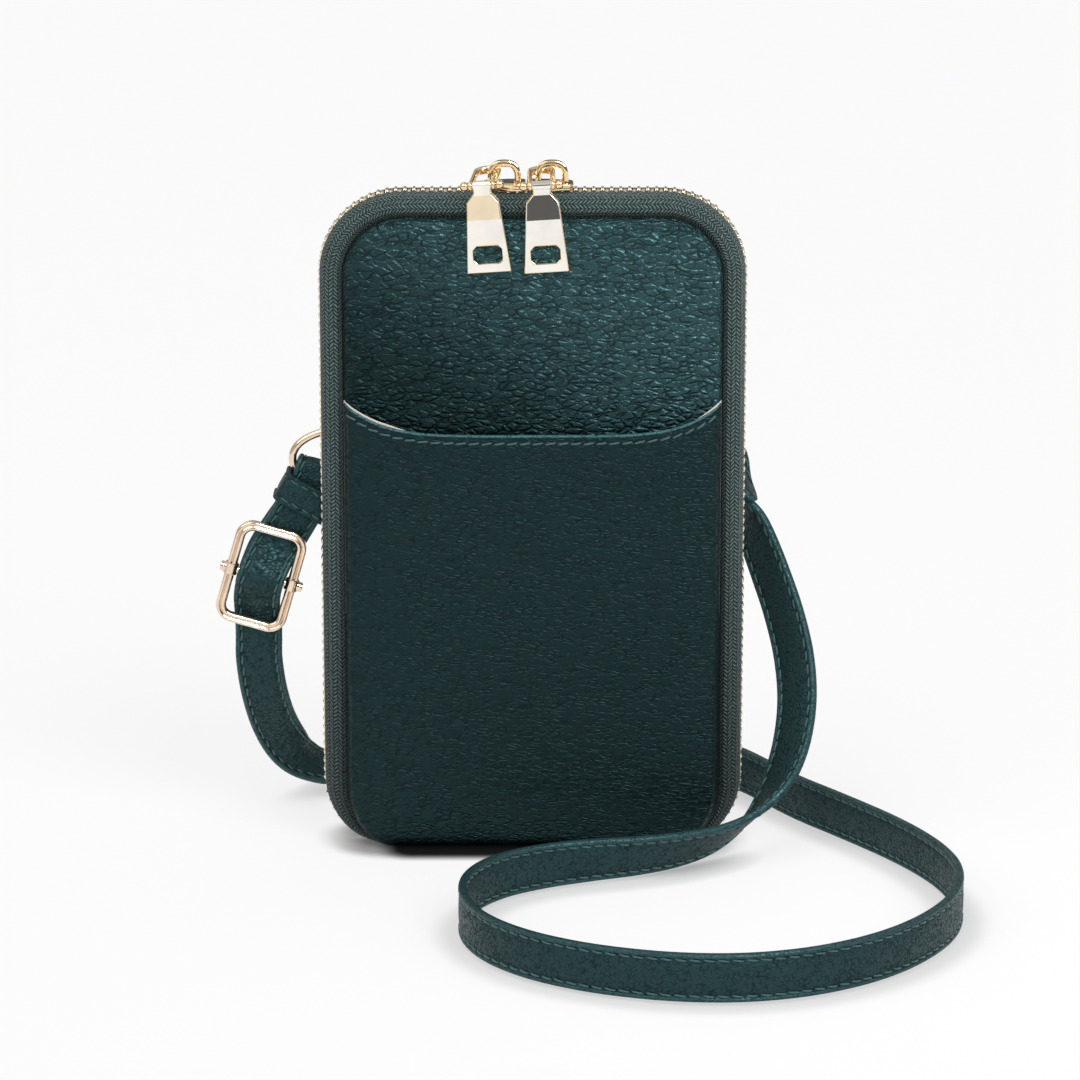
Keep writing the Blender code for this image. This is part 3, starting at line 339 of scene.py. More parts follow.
# Routes of the strap, as in the frame's source: in millimetres, a point on its middle
# line, then the direction from its lower or left edge to its upper or right edge.
LEFT_END_ROUTE = [
    ((-76.0, 7.7, 70.4), (0.96, 0.0, -0.28)),
    ((-75.8, 9.7, 71.3), (0.96, 0.0, -0.28)),
    ((-75.0, 10.4, 74.0), (0.96, 0.0, -0.28)),
    ((-72.7, 11.5, 79.5), (0.95, 0.0, -0.31)),
    ((-69.4, 13.6, 84.5), (0.9, 0.0, -0.43)),
    ((-66.4, 15.4, 88.5), (0.87, 0.0, -0.49)),
    ((-65.1, 15.6, 90.7), (0.87, 0.0, -0.49)),
    ((-62.7, 15.6, 95.0), (0.87, 0.0, -0.49)),
    ((-60.2, 15.6, 99.3), (0.89, 0.0, -0.45)),
    ((-58.8, 14.9, 103.1), (0.955, 0.0, -0.3)),
    ((-58.3, 13.0, 104.1), (0.96, 0.0, -0.28)),
    ((-58.8, 11.1, 103.1), (0.955, 0.0, -0.3)),
    ((-60.2, 10.4, 99.3), (0.89, 0.0, -0.45)),
    ((-62.7, 10.4, 95.0), (0.87, 0.0, -0.49)),
    ((-65.1, 10.4, 90.7), (0.87, 0.0, -0.49)),
    ((-68.0, 10.4, 85.8), (0.9, 0.0, -0.43)),
    ((-70.4, 10.1, 82.2), (0.955, 0.0, -0.3)),
    ((-72.8, 8.1, 78.4), (0.96, 0.0, -0.28)),
    ((-75.1, 5.2, 73.3), (0.96, 0.0, -0.28)),
    ((-76.4, 8.0, 67.4), (0.96, 0.0, -0.28)),
    ((-76.4, 10.1, 62.8), (0.96, 0.0, -0.27)),
    ((-76.2, 10.5, 58.6), (0.965, 0.0, -0.25)),
]
STANDING_STRETCH = [  # where the strap stands on its edge at one height
    (21.0, 57.0), (38.0, 54.2), (50.5, 48.3), (58.7, 40.2), (64.8, 30.5), (70.2, 20.3),
    (76.3, 10.3), (83.6, 0.0), (91.0, -10.8), (98.2, -22.0), (104.7, -34.0), (109.8, -46.7),
    (112.7, -60.3), (112.4, -74.4), (108.7, -88.2), (101.9, -101.0), (93.0, -112.2),
    (82.2, -121.3), (69.3, -128.2), (55.0, -132.0), (40.2, -132.2), (25.5, -129.2),
    (11.2, -123.4), (-1.7, -114.6), (-11.6, -103.0), (-17.1, -89.7), (-18.2, -76.2),
    (-14.9, -63.6),
]
MAIN_ROUTE = [
    ((-76.2, 10.9, 54.8), (0.97, 0, -0.24)),
    ((-76.3, 12.8, 47.5), (0.97, 0.1, -0.2)),
    ((-75.2, 17.5, 36.5), (0.93, 0.25, -0.26)),
    ((-72.9, 24.5, 25.5), (0.82, 0.48, -0.28)),
    ((-69.2, 32.5, 16.0), (0.64, 0.75, -0.16)),
    ((-64.0, 39.8, 9.6), (0.42, 0.9, 0.03)),
    ((-57.5, 45.6, 5.8), (0.25, 0.94, 0.2)),
    ((-48.0, 50.6, 4.9), (0.1, 0.9, 0.4)),
    ((-34.0, 54.4, 5.8), (0.0, 0.76, 0.65)),
    ((-17.0, 56.8, 6.8), (0.0, 0.5, 0.87)),
    ((2.0, 57.6, 7.2), (0.0, 0.2, 0.98)),
    *(((x, y, 7.2), (0.0, 0.0, 1.0)) for x, y in STANDING_STRETCH),
    ((-7.4, -53.4, 7.2), (0.0, -0.05, 1.0)),
    ((3.4, -46.2, 7.2), (0.0, -0.12, 0.99)),
    ((15.8, -41.3, 7.2), (0.0, -0.22, 0.97)),
    ((28.6, -37.6, 7.2), (0.02, -0.36, 0.93)),
    ((40.4, -32.2, 7.2), (0.08, -0.5, 0.86)),
    ((50.8, -25.4, 8.0), (0.2, -0.64, 0.74)),
    ((59.4, -18.6, 11.3), (0.36, -0.73, 0.58)),
    ((66.2, -13.0, 18.2), (0.55, -0.75, 0.36)),
    ((70.8, -9.2, 28.2), (0.67, -0.73, 0.13)),
    ((72.9, -4.0, 39.8), (0.72, -0.69, 0.02)),
    ((72.3, 1.3, 51.3), (0.76, -0.65, 0.0)),
    ((69.6, 6.4, 62.7), (0.77, -0.64, 0.0)),
    ((65.7, 11.2, 73.7), (0.76, -0.65, 0.0)),
]
RIGHT_END_ROUTE = [
    ((62.5, 14.6, 81.7), (0.72, -0.69, 0.0)),
    ((60.2, 16.9, 87.2), (0.6, -0.8, 0.0)),
    ((57.6, 19.0, 91.5), (0.35, -0.93, 0.0)),
    ((55.0, 20.8, 94.0), (0.1, -0.98, -0.1)),
    ((52.3, 22.2, 96.4), (-0.25, -0.94, -0.22)),
    ((52.0, 21.9, 99.0), (-0.4, -0.87, -0.29)),
    ((52.0, 21.6, 101.4), (-0.41, -0.87, -0.29)),
    ((52.5, 21.0, 103.2), (-0.41, -0.87, -0.29)),
    ((54.1, 20.1, 104.1), (-0.41, -0.87, -0.29)),
    ((55.9, 19.4, 103.2), (-0.41, -0.87, -0.29)),
    ((56.7, 19.5, 101.0), (-0.4, -0.87, -0.29)),
    ((57.5, 19.5, 98.2), (-0.3, -0.92, -0.26)),
    ((59.3, 19.2, 95.0), (-0.05, -0.97, -0.2)),
    ((61.6, 18.5, 92.0), (0.2, -0.97, -0.1)),
]
ROUTE_STEPS = 8
LEFT_BLEND_POINTS = 3
RIGHT_BLEND_POINTS = 4
STRAP_BLEND_HEIGHTS = {"left": (28 * MM, 58 * MM), "right": (42 * MM, 84 * MM)}

# The camera, from the photograph's perspective
EYE = Vector((2.0, -1243.6, 418.9)) * MM
LOOK_DOWN = math.radians(15)
LENS = 156.4
SENSOR = 36.0

# The room: the floor shows FLOOR_WHITE, a share of the shadows that fall on it, and painted shadow
# near things
ROOM_STRENGTH = 0.6
CARD_LIGHT = (1.5, 1.3, 1.0)
FLOOR_COLOUR = (0.875, 0.88, 0.892)
FLOOR_WHITE = 0.95
FLOOR_HALF_WIDTH = 14.0
FLOOR_BELOW = 0.1 * MM
SHADOW_SHARE = 0.35
# Painted shadow on the floor: contact shade within this reach of things, fading to a faint share
# far from the case, and a dark band painted round the case's foot
CONTACT_REACH = 10.0 * MM
CASE_FOOT = (33.0 * MM, 10.5 * MM)
FOOT_SHADOW = (4.0 * MM, 11.5 * MM, 0.03)
FAR_CONTACT = (12.0 * MM, 28.0 * MM, 0.3)

# The lamps: each far one has its turn, its strength, its size and whether it casts shadows
FAR_LAMPS = {
    "key_lamp": ((50, 0, 38), 0.8, 30, True),
    "fill_lamp": ((40, 0, -50), 0.75, 50, True),
    "sheen_lamp": ((48, 0, 18), 1.05, 8, False),
}
NEAR_LAMP_POWER = 0.22
NEAR_LAMP_SIZE = 0.09
NEAR_LAMP_PLACE = Vector((0.17, -0.17, 0.31))
NEAR_LAMP_AIM = Vector((0.03, -0.01, 0.16))


def placed(name, data):
    """An object of this data, in the scene."""
    made = bpy.data.objects.new(name, data)
    bpy.context.scene.collection.objects.link(made)
    return made


def mesh_object(name, points, faces, material, uv=None):
    """An object of these points and faces, smooth, with a UV for each point if given."""
    mesh = bpy.data.meshes.new(name)
    mesh.from_pydata([tuple(p) for p in points], [], faces)
    mesh.update()
    if uv is not None:
        layer = mesh.uv_layers.new(name="along")
        owners = np.zeros(len(mesh.loops), int)
        mesh.loops.foreach_get("vertex_index", owners)
        layer.data.foreach_set("uv", np.asarray(uv)[owners].astype(np.float32).ravel())
    mesh.shade_smooth()
    mesh.materials.append(material)
    return placed(name, mesh)


def grid_faces(rows, columns, wrap_rows=False, wrap_columns=False):
    faces = []
    for i in range(rows if wrap_rows else rows - 1):
        k = (i + 1) % rows
        for j in range(columns if wrap_columns else columns - 1):
            m = (j + 1) % columns
            faces.append((i * columns + j, i * columns + m, k * columns + m, k * columns + j))
    return faces


def tube_faces(start, rings, size):
    """Faces round a tube of rings of points, the first point of which has this index."""
    return [tuple(start + k for k in face) for face in grid_faces(rings, size, wrap_columns=True)]


def grid_object(name, rows, material, wrap=False):
    """A sheet over rows of points, closed round each row if it wraps."""
    faces = grid_faces(len(rows), len(rows[0]), wrap_columns=wrap)
    return mesh_object(name, [point for row in rows for point in row], faces, material)


def outward(made, merge_within=MM / 500):
    """Turns a piece's faces outwards, with points that lie this close made one."""
    form = bmesh.new()
    form.from_mesh(made.data)
    if merge_within is not None:
        bmesh.ops.remove_doubles(form, verts=form.verts, dist=merge_within)
    bmesh.ops.recalc_face_normals(form, faces=form.faces)
    form.to_mesh(made.data)
    form.free()
    return made


def joined(name, pieces):
    """One object of several meshes, in world places, with their modifiers applied."""
    graph = bpy.context.evaluated_depsgraph_get()
    form = bmesh.new()
    looks = []
    for piece in pieces:
        mesh = bpy.data.meshes.new_from_object(piece.evaluated_get(graph))
        mesh.transform(piece.matrix_world)
        looks += [look for look in mesh.materials if look not in looks]
        start = len(form.faces)
        form.from_mesh(mesh)
        form.faces.ensure_lookup_table()
        for face in form.faces[start:]:
            face.material_index = looks.index(mesh.materials[face.material_index])
        bpy.data.meshes.remove(mesh)
    mesh = bpy.data.meshes.new(name)
    form.to_mesh(mesh)
    form.free()
    for piece in pieces:
        bpy.data.objects.remove(piece, do_unlink=True)
    for look in looks:
        mesh.materials.append(look)
    return placed(name, mesh)


def thickened(made, thickness, offset=0):
    change = made.modifiers.new("thickness", "SOLIDIFY")
    change.thickness = thickness
    change.offset = offset
    return made


def bevelled(made, width, segments=2, angle=35):
    change = made.modifiers.new("edges", "BEVEL")
    change.width = width
    change.segments = segments
    change.limit_method = "ANGLE"
    change.angle_limit = math.radians(angle)
    return made


def sharp(made, angle=35):
    made.data.set_sharp_from_angle(angle=math.radians(angle))
    return made


def arc(centre, radius, start, end, steps):
    turns = [math.radians(start + (end - start) * i / steps) for i in range(steps + 1)]
    return [(centre[0] + radius * math.cos(a), centre[1] + radius * math.sin(a)) for a in turns]


def line(start, end, steps):
    """Points between two ends, without the ends."""
    return [
        (start[0] + (end[0] - start[0]) * i / steps, start[1] + (end[1] - start[1]) * i / steps)
        for i in range(1, steps)
    ]


def rounded_box(half_width, bottom, top, bottom_radius, top_radius, steps, sides=1):
    """A closed outline, anticlockwise from its lower right corner."""
    right_low = arc((half_width - bottom_radius, bottom + bottom_radius), bottom_radius,
                    -90, 0, steps)
    right_high = arc((half_width - top_radius, top - top_radius), top_radius, 0, 90, steps)
    left_high = [(-x, z) for x, z in reversed(right_high)]
    left_low = [(-x, z) for x, z in reversed(right_low)]
    return (
        right_low + line(right_low[-1], right_high[0], sides * 2)
        + right_high + line(right_high[-1], left_high[0], sides)
        + left_high + line(left_high[-1], left_low[0], sides * 2)
        + left_low + line(left_low[-1], right_low[0], sides)
    )


def stretched(z):
    """Heights moved up a little, which turns the lower corners from round to oval."""
    middle = (PANEL_TOP + PANEL_BOTTOM) / 2
    low, high = PANEL_BOTTOM + CORNER_WIDTH, PANEL_BOTTOM + CORNER_HEIGHT
    if z > middle:
        return z
    if z < low:
        return PANEL_BOTTOM + (z - PANEL_BOTTOM) * CORNER_HEIGHT / CORNER_WIDTH
    return high + (z - low) * (middle - high) / (middle - low)


def panel_line(inset, steps=10, sides=16):
    """The panel's outline, or a line inside it by this inset."""
    outline = rounded_box(
        PANEL_HALF_WIDTH - inset, PANEL_BOTTOM + inset, PANEL_TOP - inset,
        max(CORNER_WIDTH - inset / 2, MM), max(PANEL_TOP_RADIUS - inset / 2, MM), steps, sides,
    )
    return [(x, stretched(z)) for x, z in outline]


def edge_distance(x, z):
    """How far a point of the panel lies inside its outline."""
    upper = z > (PANEL_TOP + PANEL_BOTTOM) / 2
    wide = PANEL_TOP_RADIUS if upper else CORNER_WIDTH
    high = PANEL_TOP_RADIUS if upper else CORNER_HEIGHT
    from_side = (PANEL_HALF_WIDTH - abs(x)) / wide
    from_end = (PANEL_TOP - z if upper else z - PANEL_BOTTOM) / high
    if from_side < 1 and from_end < 1:
        return wide * (1 - math.hypot(1 - from_side, 1 - from_end))
    return wide * min(from_side, from_end)


def quarter_round(distance, reach):
    return math.sin(math.pi / 2 * min(max(distance / reach, 0), 1))


def smooth_step(value):
    value = min(max(value, 0.0), 1.0)
    return value * value * (3 - 2 * value)


def soft_waves(x, z, height):
    """Gentle unevenness of soft leather, a fraction of a millimetre high."""
    return height * (
        0.5 * math.sin(x / (11 * MM) + 1.3) * math.sin(z / (17 * MM) + 0.4)
        + 0.3 * math.sin(x / (6.3 * MM) + z / (9.1 * MM))
        + 0.2 * math.sin(z / (7.7 * MM) - x / (14 * MM) + 2.1)
    )


def crown(distance):
    share = min(distance / CROWN_REACH, 1)
    return PANEL_CROWN * (1 - (1 - share) ** 2)


def behind_lip(x, z):
    """How far the front panel draws back towards the pocket's mouth."""
    above = (z - lip_height(x)) / DRAW_IN_ABOVE_LIP
    from_edge = smooth_step(edge_distance(x, z) / DRAW_IN_FROM_EDGE)
    return PANEL_DRAW_IN * math.exp(-max(above, 0) ** 2) * from_edge


def filled_in(rows, steps, low, high):
    """Closed rows of points, and more that draw the last one in to an upright line."""
    last = rows[-1]
    for i in range(1, steps + 1):
        share = i / steps
        rows.append([(x * (1 - share), z + (min(max(z, low), high) - z) * share) for x, z in last])
    return rows


def panel_depth(x, z):
    """How far a panel's outer face stands off the plane of the teeth."""
    distance = edge_distance(x, z)
    rise = PANEL_RISE * quarter_round(distance, PANEL_EDGE) + crown(distance)
    return SEAM_DEPTH + rise + soft_waves(x, z, PANEL_WAVES) * smooth_step(distance / CROWN_REACH)


def panel(name, side, material):
    """A leather panel: its edge turns in to the seam, and its middle is a little crowned."""
    insets = [0, 0.25, 0.6, 1.0, 1.5, 2.1, 3.0, 4.5, 6.5, 9.0, 12.0, 15.0]
    flat = filled_in([panel_line(inset * MM) for inset in insets], 16,
                     PANEL_BOTTOM + TEETH_BOTTOM_RADIUS * 3, TEETH_TOP - TEETH_TOP_RADIUS * 3)
    rows = [
        [(x, side * (panel_depth(x, z) - (behind_lip(x, z) if side < 0 else 0)), z) for x, z in row]
        for row in flat
    ]
    return thickened(outward(grid_object(name, rows, material, wrap=True)), MM, -1)


def lip_height(x):
    share = abs(x) / PANEL_HALF_WIDTH
    return LIP_HEIGHT + LIP_RISE * share**LIP_POWER


def corner_half_width(z):
    """The panel's half-width at a height in its lower part."""
    below = max(1 - (z - PANEL_BOTTOM) / CORNER_HEIGHT, 0)
    return PANEL_HALF_WIDTH - CORNER_WIDTH * (1 - math.sqrt(max(1 - below**2, 0)))


def pocket_depth(x, z):
    """How far the pocket's outer face stands off the plane of the teeth."""
    distance = edge_distance(x, z)
    below_lip = smooth_step(1 - (lip_height(x) - z) / BULGE_BELOW_LIP)
    return (
        POCKET_SEAM + POCKET_RISE * quarter_round(distance, POCKET_EDGE) + crown(distance)
        + MOUTH_BULGE * below_lip * smooth_step(distance / BULGE_FROM_EDGE)
        + soft_waves(x + POCKET_WAVES_SHIFT, z, POCKET_WAVES)
        * smooth_step(distance / CROWN_REACH)
    )


def pocket(name, material, edge_material):
    """The slip pocket: one sheet up the front, over the lip and a little down behind."""
    columns, heights = 96, 70
    rows = []
    for i in range(heights):
        share = i / (heights - 1)
        share = share**1.4 * 0.35 + share * 0.65
        row = []
        for j in range(columns + 1):
            across = 2 * j / columns - 1
            across = math.sin(math.pi / 2 * across) * 0.5 + across * 0.5
            z = PANEL_BOTTOM + POCKET_FOOT_GAP + share * (LIP_HEIGHT - PANEL_BOTTOM)
            x = across * corner_half_width(z)
            z += share * (lip_height(x) - LIP_HEIGHT) - share**8 * LIP_SETTLES
            row.append((x, -pocket_depth(x, z), z))
        rows.append(row)
    top = rows[-1]
    radius = POCKET_THICKNESS / 2
    for turn in (30, 60, 90, 125, 160):
        angle = math.radians(turn)
        back, up = radius * (1 - math.cos(angle)), radius * math.sin(angle)
        rows.append([(x, y + back, z + up) for x, y, z in top])
    for drop in (2, 6, 12):
        rows.append([(x, y + POCKET_THICKNESS, z - drop * MM) for x, y, z in top])
    made = grid_object(name, rows, material)
    # The rows over the lip take the lip leather, painted lighter: a painted highlight along the
    # rolled edge
    made.data.materials.append(edge_material)
    for face in made.data.polygons:
        if face.index >= (heights - 1) * columns:
            face.material_index = 1
    return made


def pocket_lining(name, material):
    """The lining inside the pocket, which shows as a pale line behind the lip's ends."""
    columns = 80
    rows = []
    for drop in (0, 0.35, 1.5, 6, 20, 60):
        row = []
        for j in range(columns + 1):
            x = PANEL_HALF_WIDTH * LIP_LINING_SPAN * (2 * j / columns - 1)
            start = LINING_SHOWS_FROM["left" if x < 0 else "right"]
            shows = LIP_LINING_SHOWS * smooth_step((abs(x) - start) / LIP_LINING_GROWS)
            fade = smooth_step((PANEL_HALF_WIDTH - abs(x)) / LIP_LINING_FADES)
            depth = pocket_depth(x, lip_height(x) - MM) - POCKET_THICKNESS * (0.35 + 0.5 * fade)
            row.append((x, -depth, lip_height(x) + shows - LIP_LINING_BELOW - drop * MM))
        rows.append(row)
    return thickened(grid_object(name, rows, material), LIP_LINING_THICKNESS)


def rim(half_width, bottom, top, bottom_radius, top_radius):
    """An open line up the left side, over the top and down the right, as (x, z) points."""
    steps, straight_steps = 16, 60
    left = arc((bottom_radius - half_width, bottom + bottom_radius), bottom_radius, 270, 180, steps)
    corner = arc((top_radius - half_width, top - top_radius), top_radius, 180, 90, steps)
    left += line(left[-1], corner[0], straight_steps) + corner
    middle = line(left[-1], (-left[-1][0], left[-1][1]), straight_steps)
    return left + middle + [(-x, z) for x, z in reversed(left)]


def sagged(path):
    """A rim that settles towards the floor at its two lower corners."""
    start = TEETH_BOTTOM + TEETH_BOTTOM_RADIUS
    return [(x, z - CORNER_SAG * smooth_step((start - z) / TEETH_BOTTOM_RADIUS)) for x, z in path]


def teeth_rim():
    return sagged(rim(TEETH_HALF_WIDTH, TEETH_BOTTOM, TEETH_TOP, TEETH_BOTTOM_RADIUS,
                      TEETH_TOP_RADIUS))


def seam_rim():
    inset = PANEL_INSET + SEAM_ALLOWANCE
    return sagged(rim(TEETH_HALF_WIDTH - inset, TEETH_BOTTOM + SEAM_LIFT, TEETH_TOP - inset,
                      SEAM_CORNER_RADIUS, TEETH_TOP_RADIUS - inset))


def bow(x, z):
    """How far each row of teeth stands off its closed place, round the sliders' posts."""
    if z < TEETH_TOP - TEETH_TOP_RADIUS:
        return 0.0
    full = SLIDERS_APART / 2 - SLIDER_LENGTH / 12
    closed = SLIDERS_APART / 2 + SLIDER_LENGTH / 4
    return ROW_BOW * smooth_step((closed - abs(x - SLIDERS_MIDDLE)) / (closed - full))


def along_lengths(points):
    points = np.asarray(points, float)
    return np.concatenate([[0], np.cumsum(np.linalg.norm(np.diff(points, axis=0), axis=1))])


def zip_tape(name, side, material):
    """The woven tape of one half: a bead by the teeth, a flat edge and the turn to the seam."""
    profile = [
        (0.0, -0.3, 0.0), (-0.25, 0.0, 0.0), (0.0, 0.3, 0.0), (0.5, 0.3, 0.0), (1.1, 0.15, 0.0),
        (1.9, 0.05, 0.005), (2.7, 0.0, 0.02), (3.5, 0.0, 0.055), (4.2, 0.0, 0.11),
        (4.75, 0.0, 0.19), (5.1, 0.0, 0.29), (5.25, 0.0, 0.39), (5.2, 0.0, 0.48),
        (4.9, 0.0, 0.56), (4.4, 0.0, 0.62), (4.1, 0.0, 0.67), (4.0, 0.0, 1.0),
    ]
    profile = [(TAPE_EDGE + past * MM, lift * MM, share) for past, lift, share in profile]
    outer, inner = teeth_rim(), seam_rim()
    lengths = along_lengths(outer)
    widths = along_lengths([(depth, share * (PANEL_INSET + SEAM_ALLOWANCE))
                            for depth, _, share in profile])
    points, uv = [], []
    for i, ((x, z), (inner_x, inner_z)) in enumerate(zip(outer, inner)):
        before, after = outer[max(i - 1, 0)], outer[min(i + 1, len(outer) - 1)]
        run = Vector((after[0] - before[0], after[1] - before[1])).normalized()
        opening = bow(x, z)
        for (depth, lift, share), width in zip(profile, widths):
            near = opening * (1 - smooth_step((depth - TAPE_EDGE) / BOW_FADES))
            points.append((
                x + (inner_x - x) * share - run.y * lift, side * (depth + near),
                z + (inner_z - z) * share + run.x * lift,
            ))
            uv.append((lengths[i], width))
    faces = grid_faces(len(outer), len(profile))
    if side > 0:
        faces = [face[::-1] for face in faces]
    return thickened(mesh_object(name, points, faces, material, uv), TAPE_THICKNESS, -1)


def spaced(path, distances):
    """Points and outward directions at these distances along an (x, z) path."""
    points = np.asarray(path, float)
    lengths = along_lengths(points)
    found = []
    for distance in distances:
        x, z = (float(np.interp(distance, lengths, points[:, k])) for k in (0, 1))
        i = min(max(int(np.searchsorted(lengths, distance)) - 1, 0), len(points) - 2)
        run = (points[i + 1] - points[i]) / np.linalg.norm(points[i + 1] - points[i])
        found.append((x, z, -float(run[1]), float(run[0])))
    return found


def teeth_row(name, side, phase, material):
    """One row of separate cast teeth, each gripping the bead of its tape."""
    stations = [
        (-0.6, 0.30, 0.42), (-0.45, 0.48, 0.64), (0.15, 0.54, 0.74), (0.75, 0.42, 0.68),
        (1.2, 0.42, 0.68), (1.9, 0.50, 0.76), (2.5, 0.50, 0.76), (2.95, 0.34, 0.54),
    ]
    path = teeth_rim()
    length = along_lengths(path)[-1]
    count = int(length / TOOTH_PITCH) - 2 * TEETH_LEFT_OFF
    centres = [TOOTH_PITCH * (i + TEETH_LEFT_OFF + phase) for i in range(count)]
    corner_share = 0.6
    ring = [(1, corner_share), (corner_share, 1), (-corner_share, 1), (-1, corner_share),
            (-1, -corner_share), (-corner_share, -1), (corner_share, -1), (1, -corner_share)]
    size = len(ring)
    points, faces = [], []
    for x, z, out_x, out_z in spaced(path, centres):
        faces += tube_faces(len(points), len(stations), size)
        along_x, along_z = out_z, -out_x
        opening = bow(x, z)
        first = len(points)
        for depth, half_along, half_high in stations:
            for a, b in ring:
                u, v = a * half_along * MM, b * half_high * MM
                points.append((
                    x + along_x * u + out_x * v, side * (depth * MM + opening),
                    z + along_z * u + out_z * v,
                ))
        last = len(points) - size
        faces.append(tuple(first + j for j in range(size)))
        faces.append(tuple(last + j for j in reversed(range(size))))
    return sharp(outward(mesh_object(name, points, faces, material)), 50)


def swept(name, places, across, section, material, closed=False):
    """A body swept along places; section points are (across, outward) offsets.

    across is the direction of the section's width, for all places or for each.
    """
    count = len(places)
    if isinstance(across, Vector):
        across = [across] * count
    lengths = along_lengths(places)
    around = along_lengths(list(section) + [section[0]])
    points, uv = [], []
    for i in range(count):
        if closed:
            ahead = places[(i + 1) % count] - places[i - 1]
        else:
            ahead = places[min(i + 1, count - 1)] - places[max(i - 1, 0)]
        ahead = ahead.normalized()
        wide = (across[i] - ahead * across[i].dot(ahead)).normalized()
        out = ahead.cross(wide)
        for (a, b), v in zip(section, around):
            points.append(places[i] + wide * a + out * b)
            uv.append((lengths[i], v))
    size = len(section)
    faces = grid_faces(count, size, wrap_rows=closed, wrap_columns=True)
    if not closed:
        faces += [tuple(range(size)), tuple((count - 1) * size + j for j in reversed(range(size)))]
    return outward(mesh_object(name, points, faces, material, uv), None)


def oval(half_wide, half_high, steps=16):
    turns = [2 * math.pi * i / steps for i in range(steps)]
    return [(half_wide * math.cos(a), half_high * math.sin(a)) for a in turns]


def mirrored(half):
    return half + [(x, -y) for x, y in reversed(half)]


def both_sides(half):
    """A section's upper line from its half, which ends at its middle."""
    return half + [(-a, b) for a, b in reversed(half[:-1])]


def strap_section():
    """The strap's section: rounded edges, and a shallow groove under each stitch line."""
    from_edge = [
        (0.0, 0.2), (0.12, 0.6), (0.4, 0.93), (0.8, 1.03), (1.2, 0.92), (1.55, 0.54),
        (1.85, 0.56), (2.6, 0.84), (4.2, 0.95), (STRAP_WIDTH / 2 / MM, 1.0),
    ]
    thick = STRAP_THICKNESS / 2
    return mirrored(both_sides([(STRAP_WIDTH / 2 - a * MM, b * thick) for a, b in from_edge]))


def paint_strap_edge_highlights(body, material):
    """The bands outside the stitch lines have a smoother, shinier leather, painted lighter as a
    painted highlight along the strap's rounded edges.
    """
    section = strap_section()
    size = len(section)
    limit = STRAP_WIDTH / 2 - STRAP_EDGE_BAND
    outside = [abs(section[j][0]) > limit and abs(section[(j + 1) % size][0]) > limit
               for j in range(size)]
    body.data.materials.append(material)
    for face in body.data.polygons:
        if len(face.vertices) == 4 and outside[face.index % size]:
            face.material_index = 1


def blended(a, b, c, d, t):
    return (b * 2 + (c - a) * t + (a * 2 - b * 5 + c * 4 - d) * t * t
            + (b * 3 - a - c * 3 + d) * t**3) / 2


def smooth_route(route):
    """Points and width directions on a smooth curve through a route's own points."""
    places = [Vector(place) * MM for place, _ in route]
    across = [Vector(direction) for _, direction in route]
    fine_places, fine_across = [], []
    for i in range(len(route) - 1):
        before, after = max(i - 1, 0), min(i + 2, len(route) - 1)
        for step in range(ROUTE_STEPS):
            t = step / ROUTE_STEPS
            fine_places.append(blended(places[before], places[i], places[i + 1], places[after], t))
            fine_across.append(blended(across[before], across[i], across[i + 1], across[after], t))
    return fine_places + [places[-1]], fine_across + [across[-1]]


def stitches(name, seats, material, half_length=STITCH_HALF_LENGTH, radius=STITCH_RADIUS,
             slant=STITCH_SLANT):
    """Stitches in one mesh, each a short thread that dips at both ends.

    Each seat is a place, the way along, and the way out.
    """
    stations = [(-1.0, -0.9, 0.45), (-0.85, -0.1, 0.8), (-0.45, 0.35, 1.0), (0.0, 0.45, 1.0),
                (0.45, 0.35, 1.0), (0.85, -0.1, 0.8), (1.0, -0.9, 0.45)]
    ring = oval(1.0, 1.0, 8)
    points, faces = [], []
    for place, along, out in seats:
        faces += tube_faces(len(points), len(stations), len(ring))
        along = along.normalized()
        out = (out - along * out.dot(along)).normalized()
        along = (along + along.cross(out) * slant).normalized()
        over = along.cross(out)
        for distance, lift, thick in stations:
            middle = place + along * distance * half_length + out * lift * radius
            for a, b in ring:
                points.append(middle + (over * a + out * b) * radius * thick)
    return mesh_object(name, points, faces, material)


def resampled(places, others, pitch, offset):
    """Points every pitch along places, with the run there and the others' values."""
    lengths = along_lengths(places)
    places, others = (np.array([tuple(p) for p in values]) for values in (places, others))

    def at(values, distance):
        return Vector([np.interp(distance, lengths, values[:, k]) for k in range(3)])

    found = []
    distance = offset
    while distance < lengths[-1]:
        run = at(places, distance + MM / 4) - at(places, distance - MM / 4)
        found.append((at(places, distance), run, at(others, distance)))
        distance += pitch
    return found


def strap_stitches(name, places, across, material):
    """Two lines of stitches on each face of a length of strap."""
    from_middle = STRAP_WIDTH / 2 - STRAP_STITCH_INSET
    seats = []
    for place, run, wide in resampled(places, across, STRAP_STITCH_PITCH, STRAP_STITCH_PITCH / 2):
        run = run.normalized()
        wide = (wide - run * wide.dot(run)).normalized()
        out = run.cross(wide)
        for face in (1, -1):
            for edge in (1, -1):
                seat = place + wide * edge * from_middle + out * face * STRAP_THICKNESS * 0.35
                seats.append((seat, run, out * face))
    return stitches(name, seats, material)


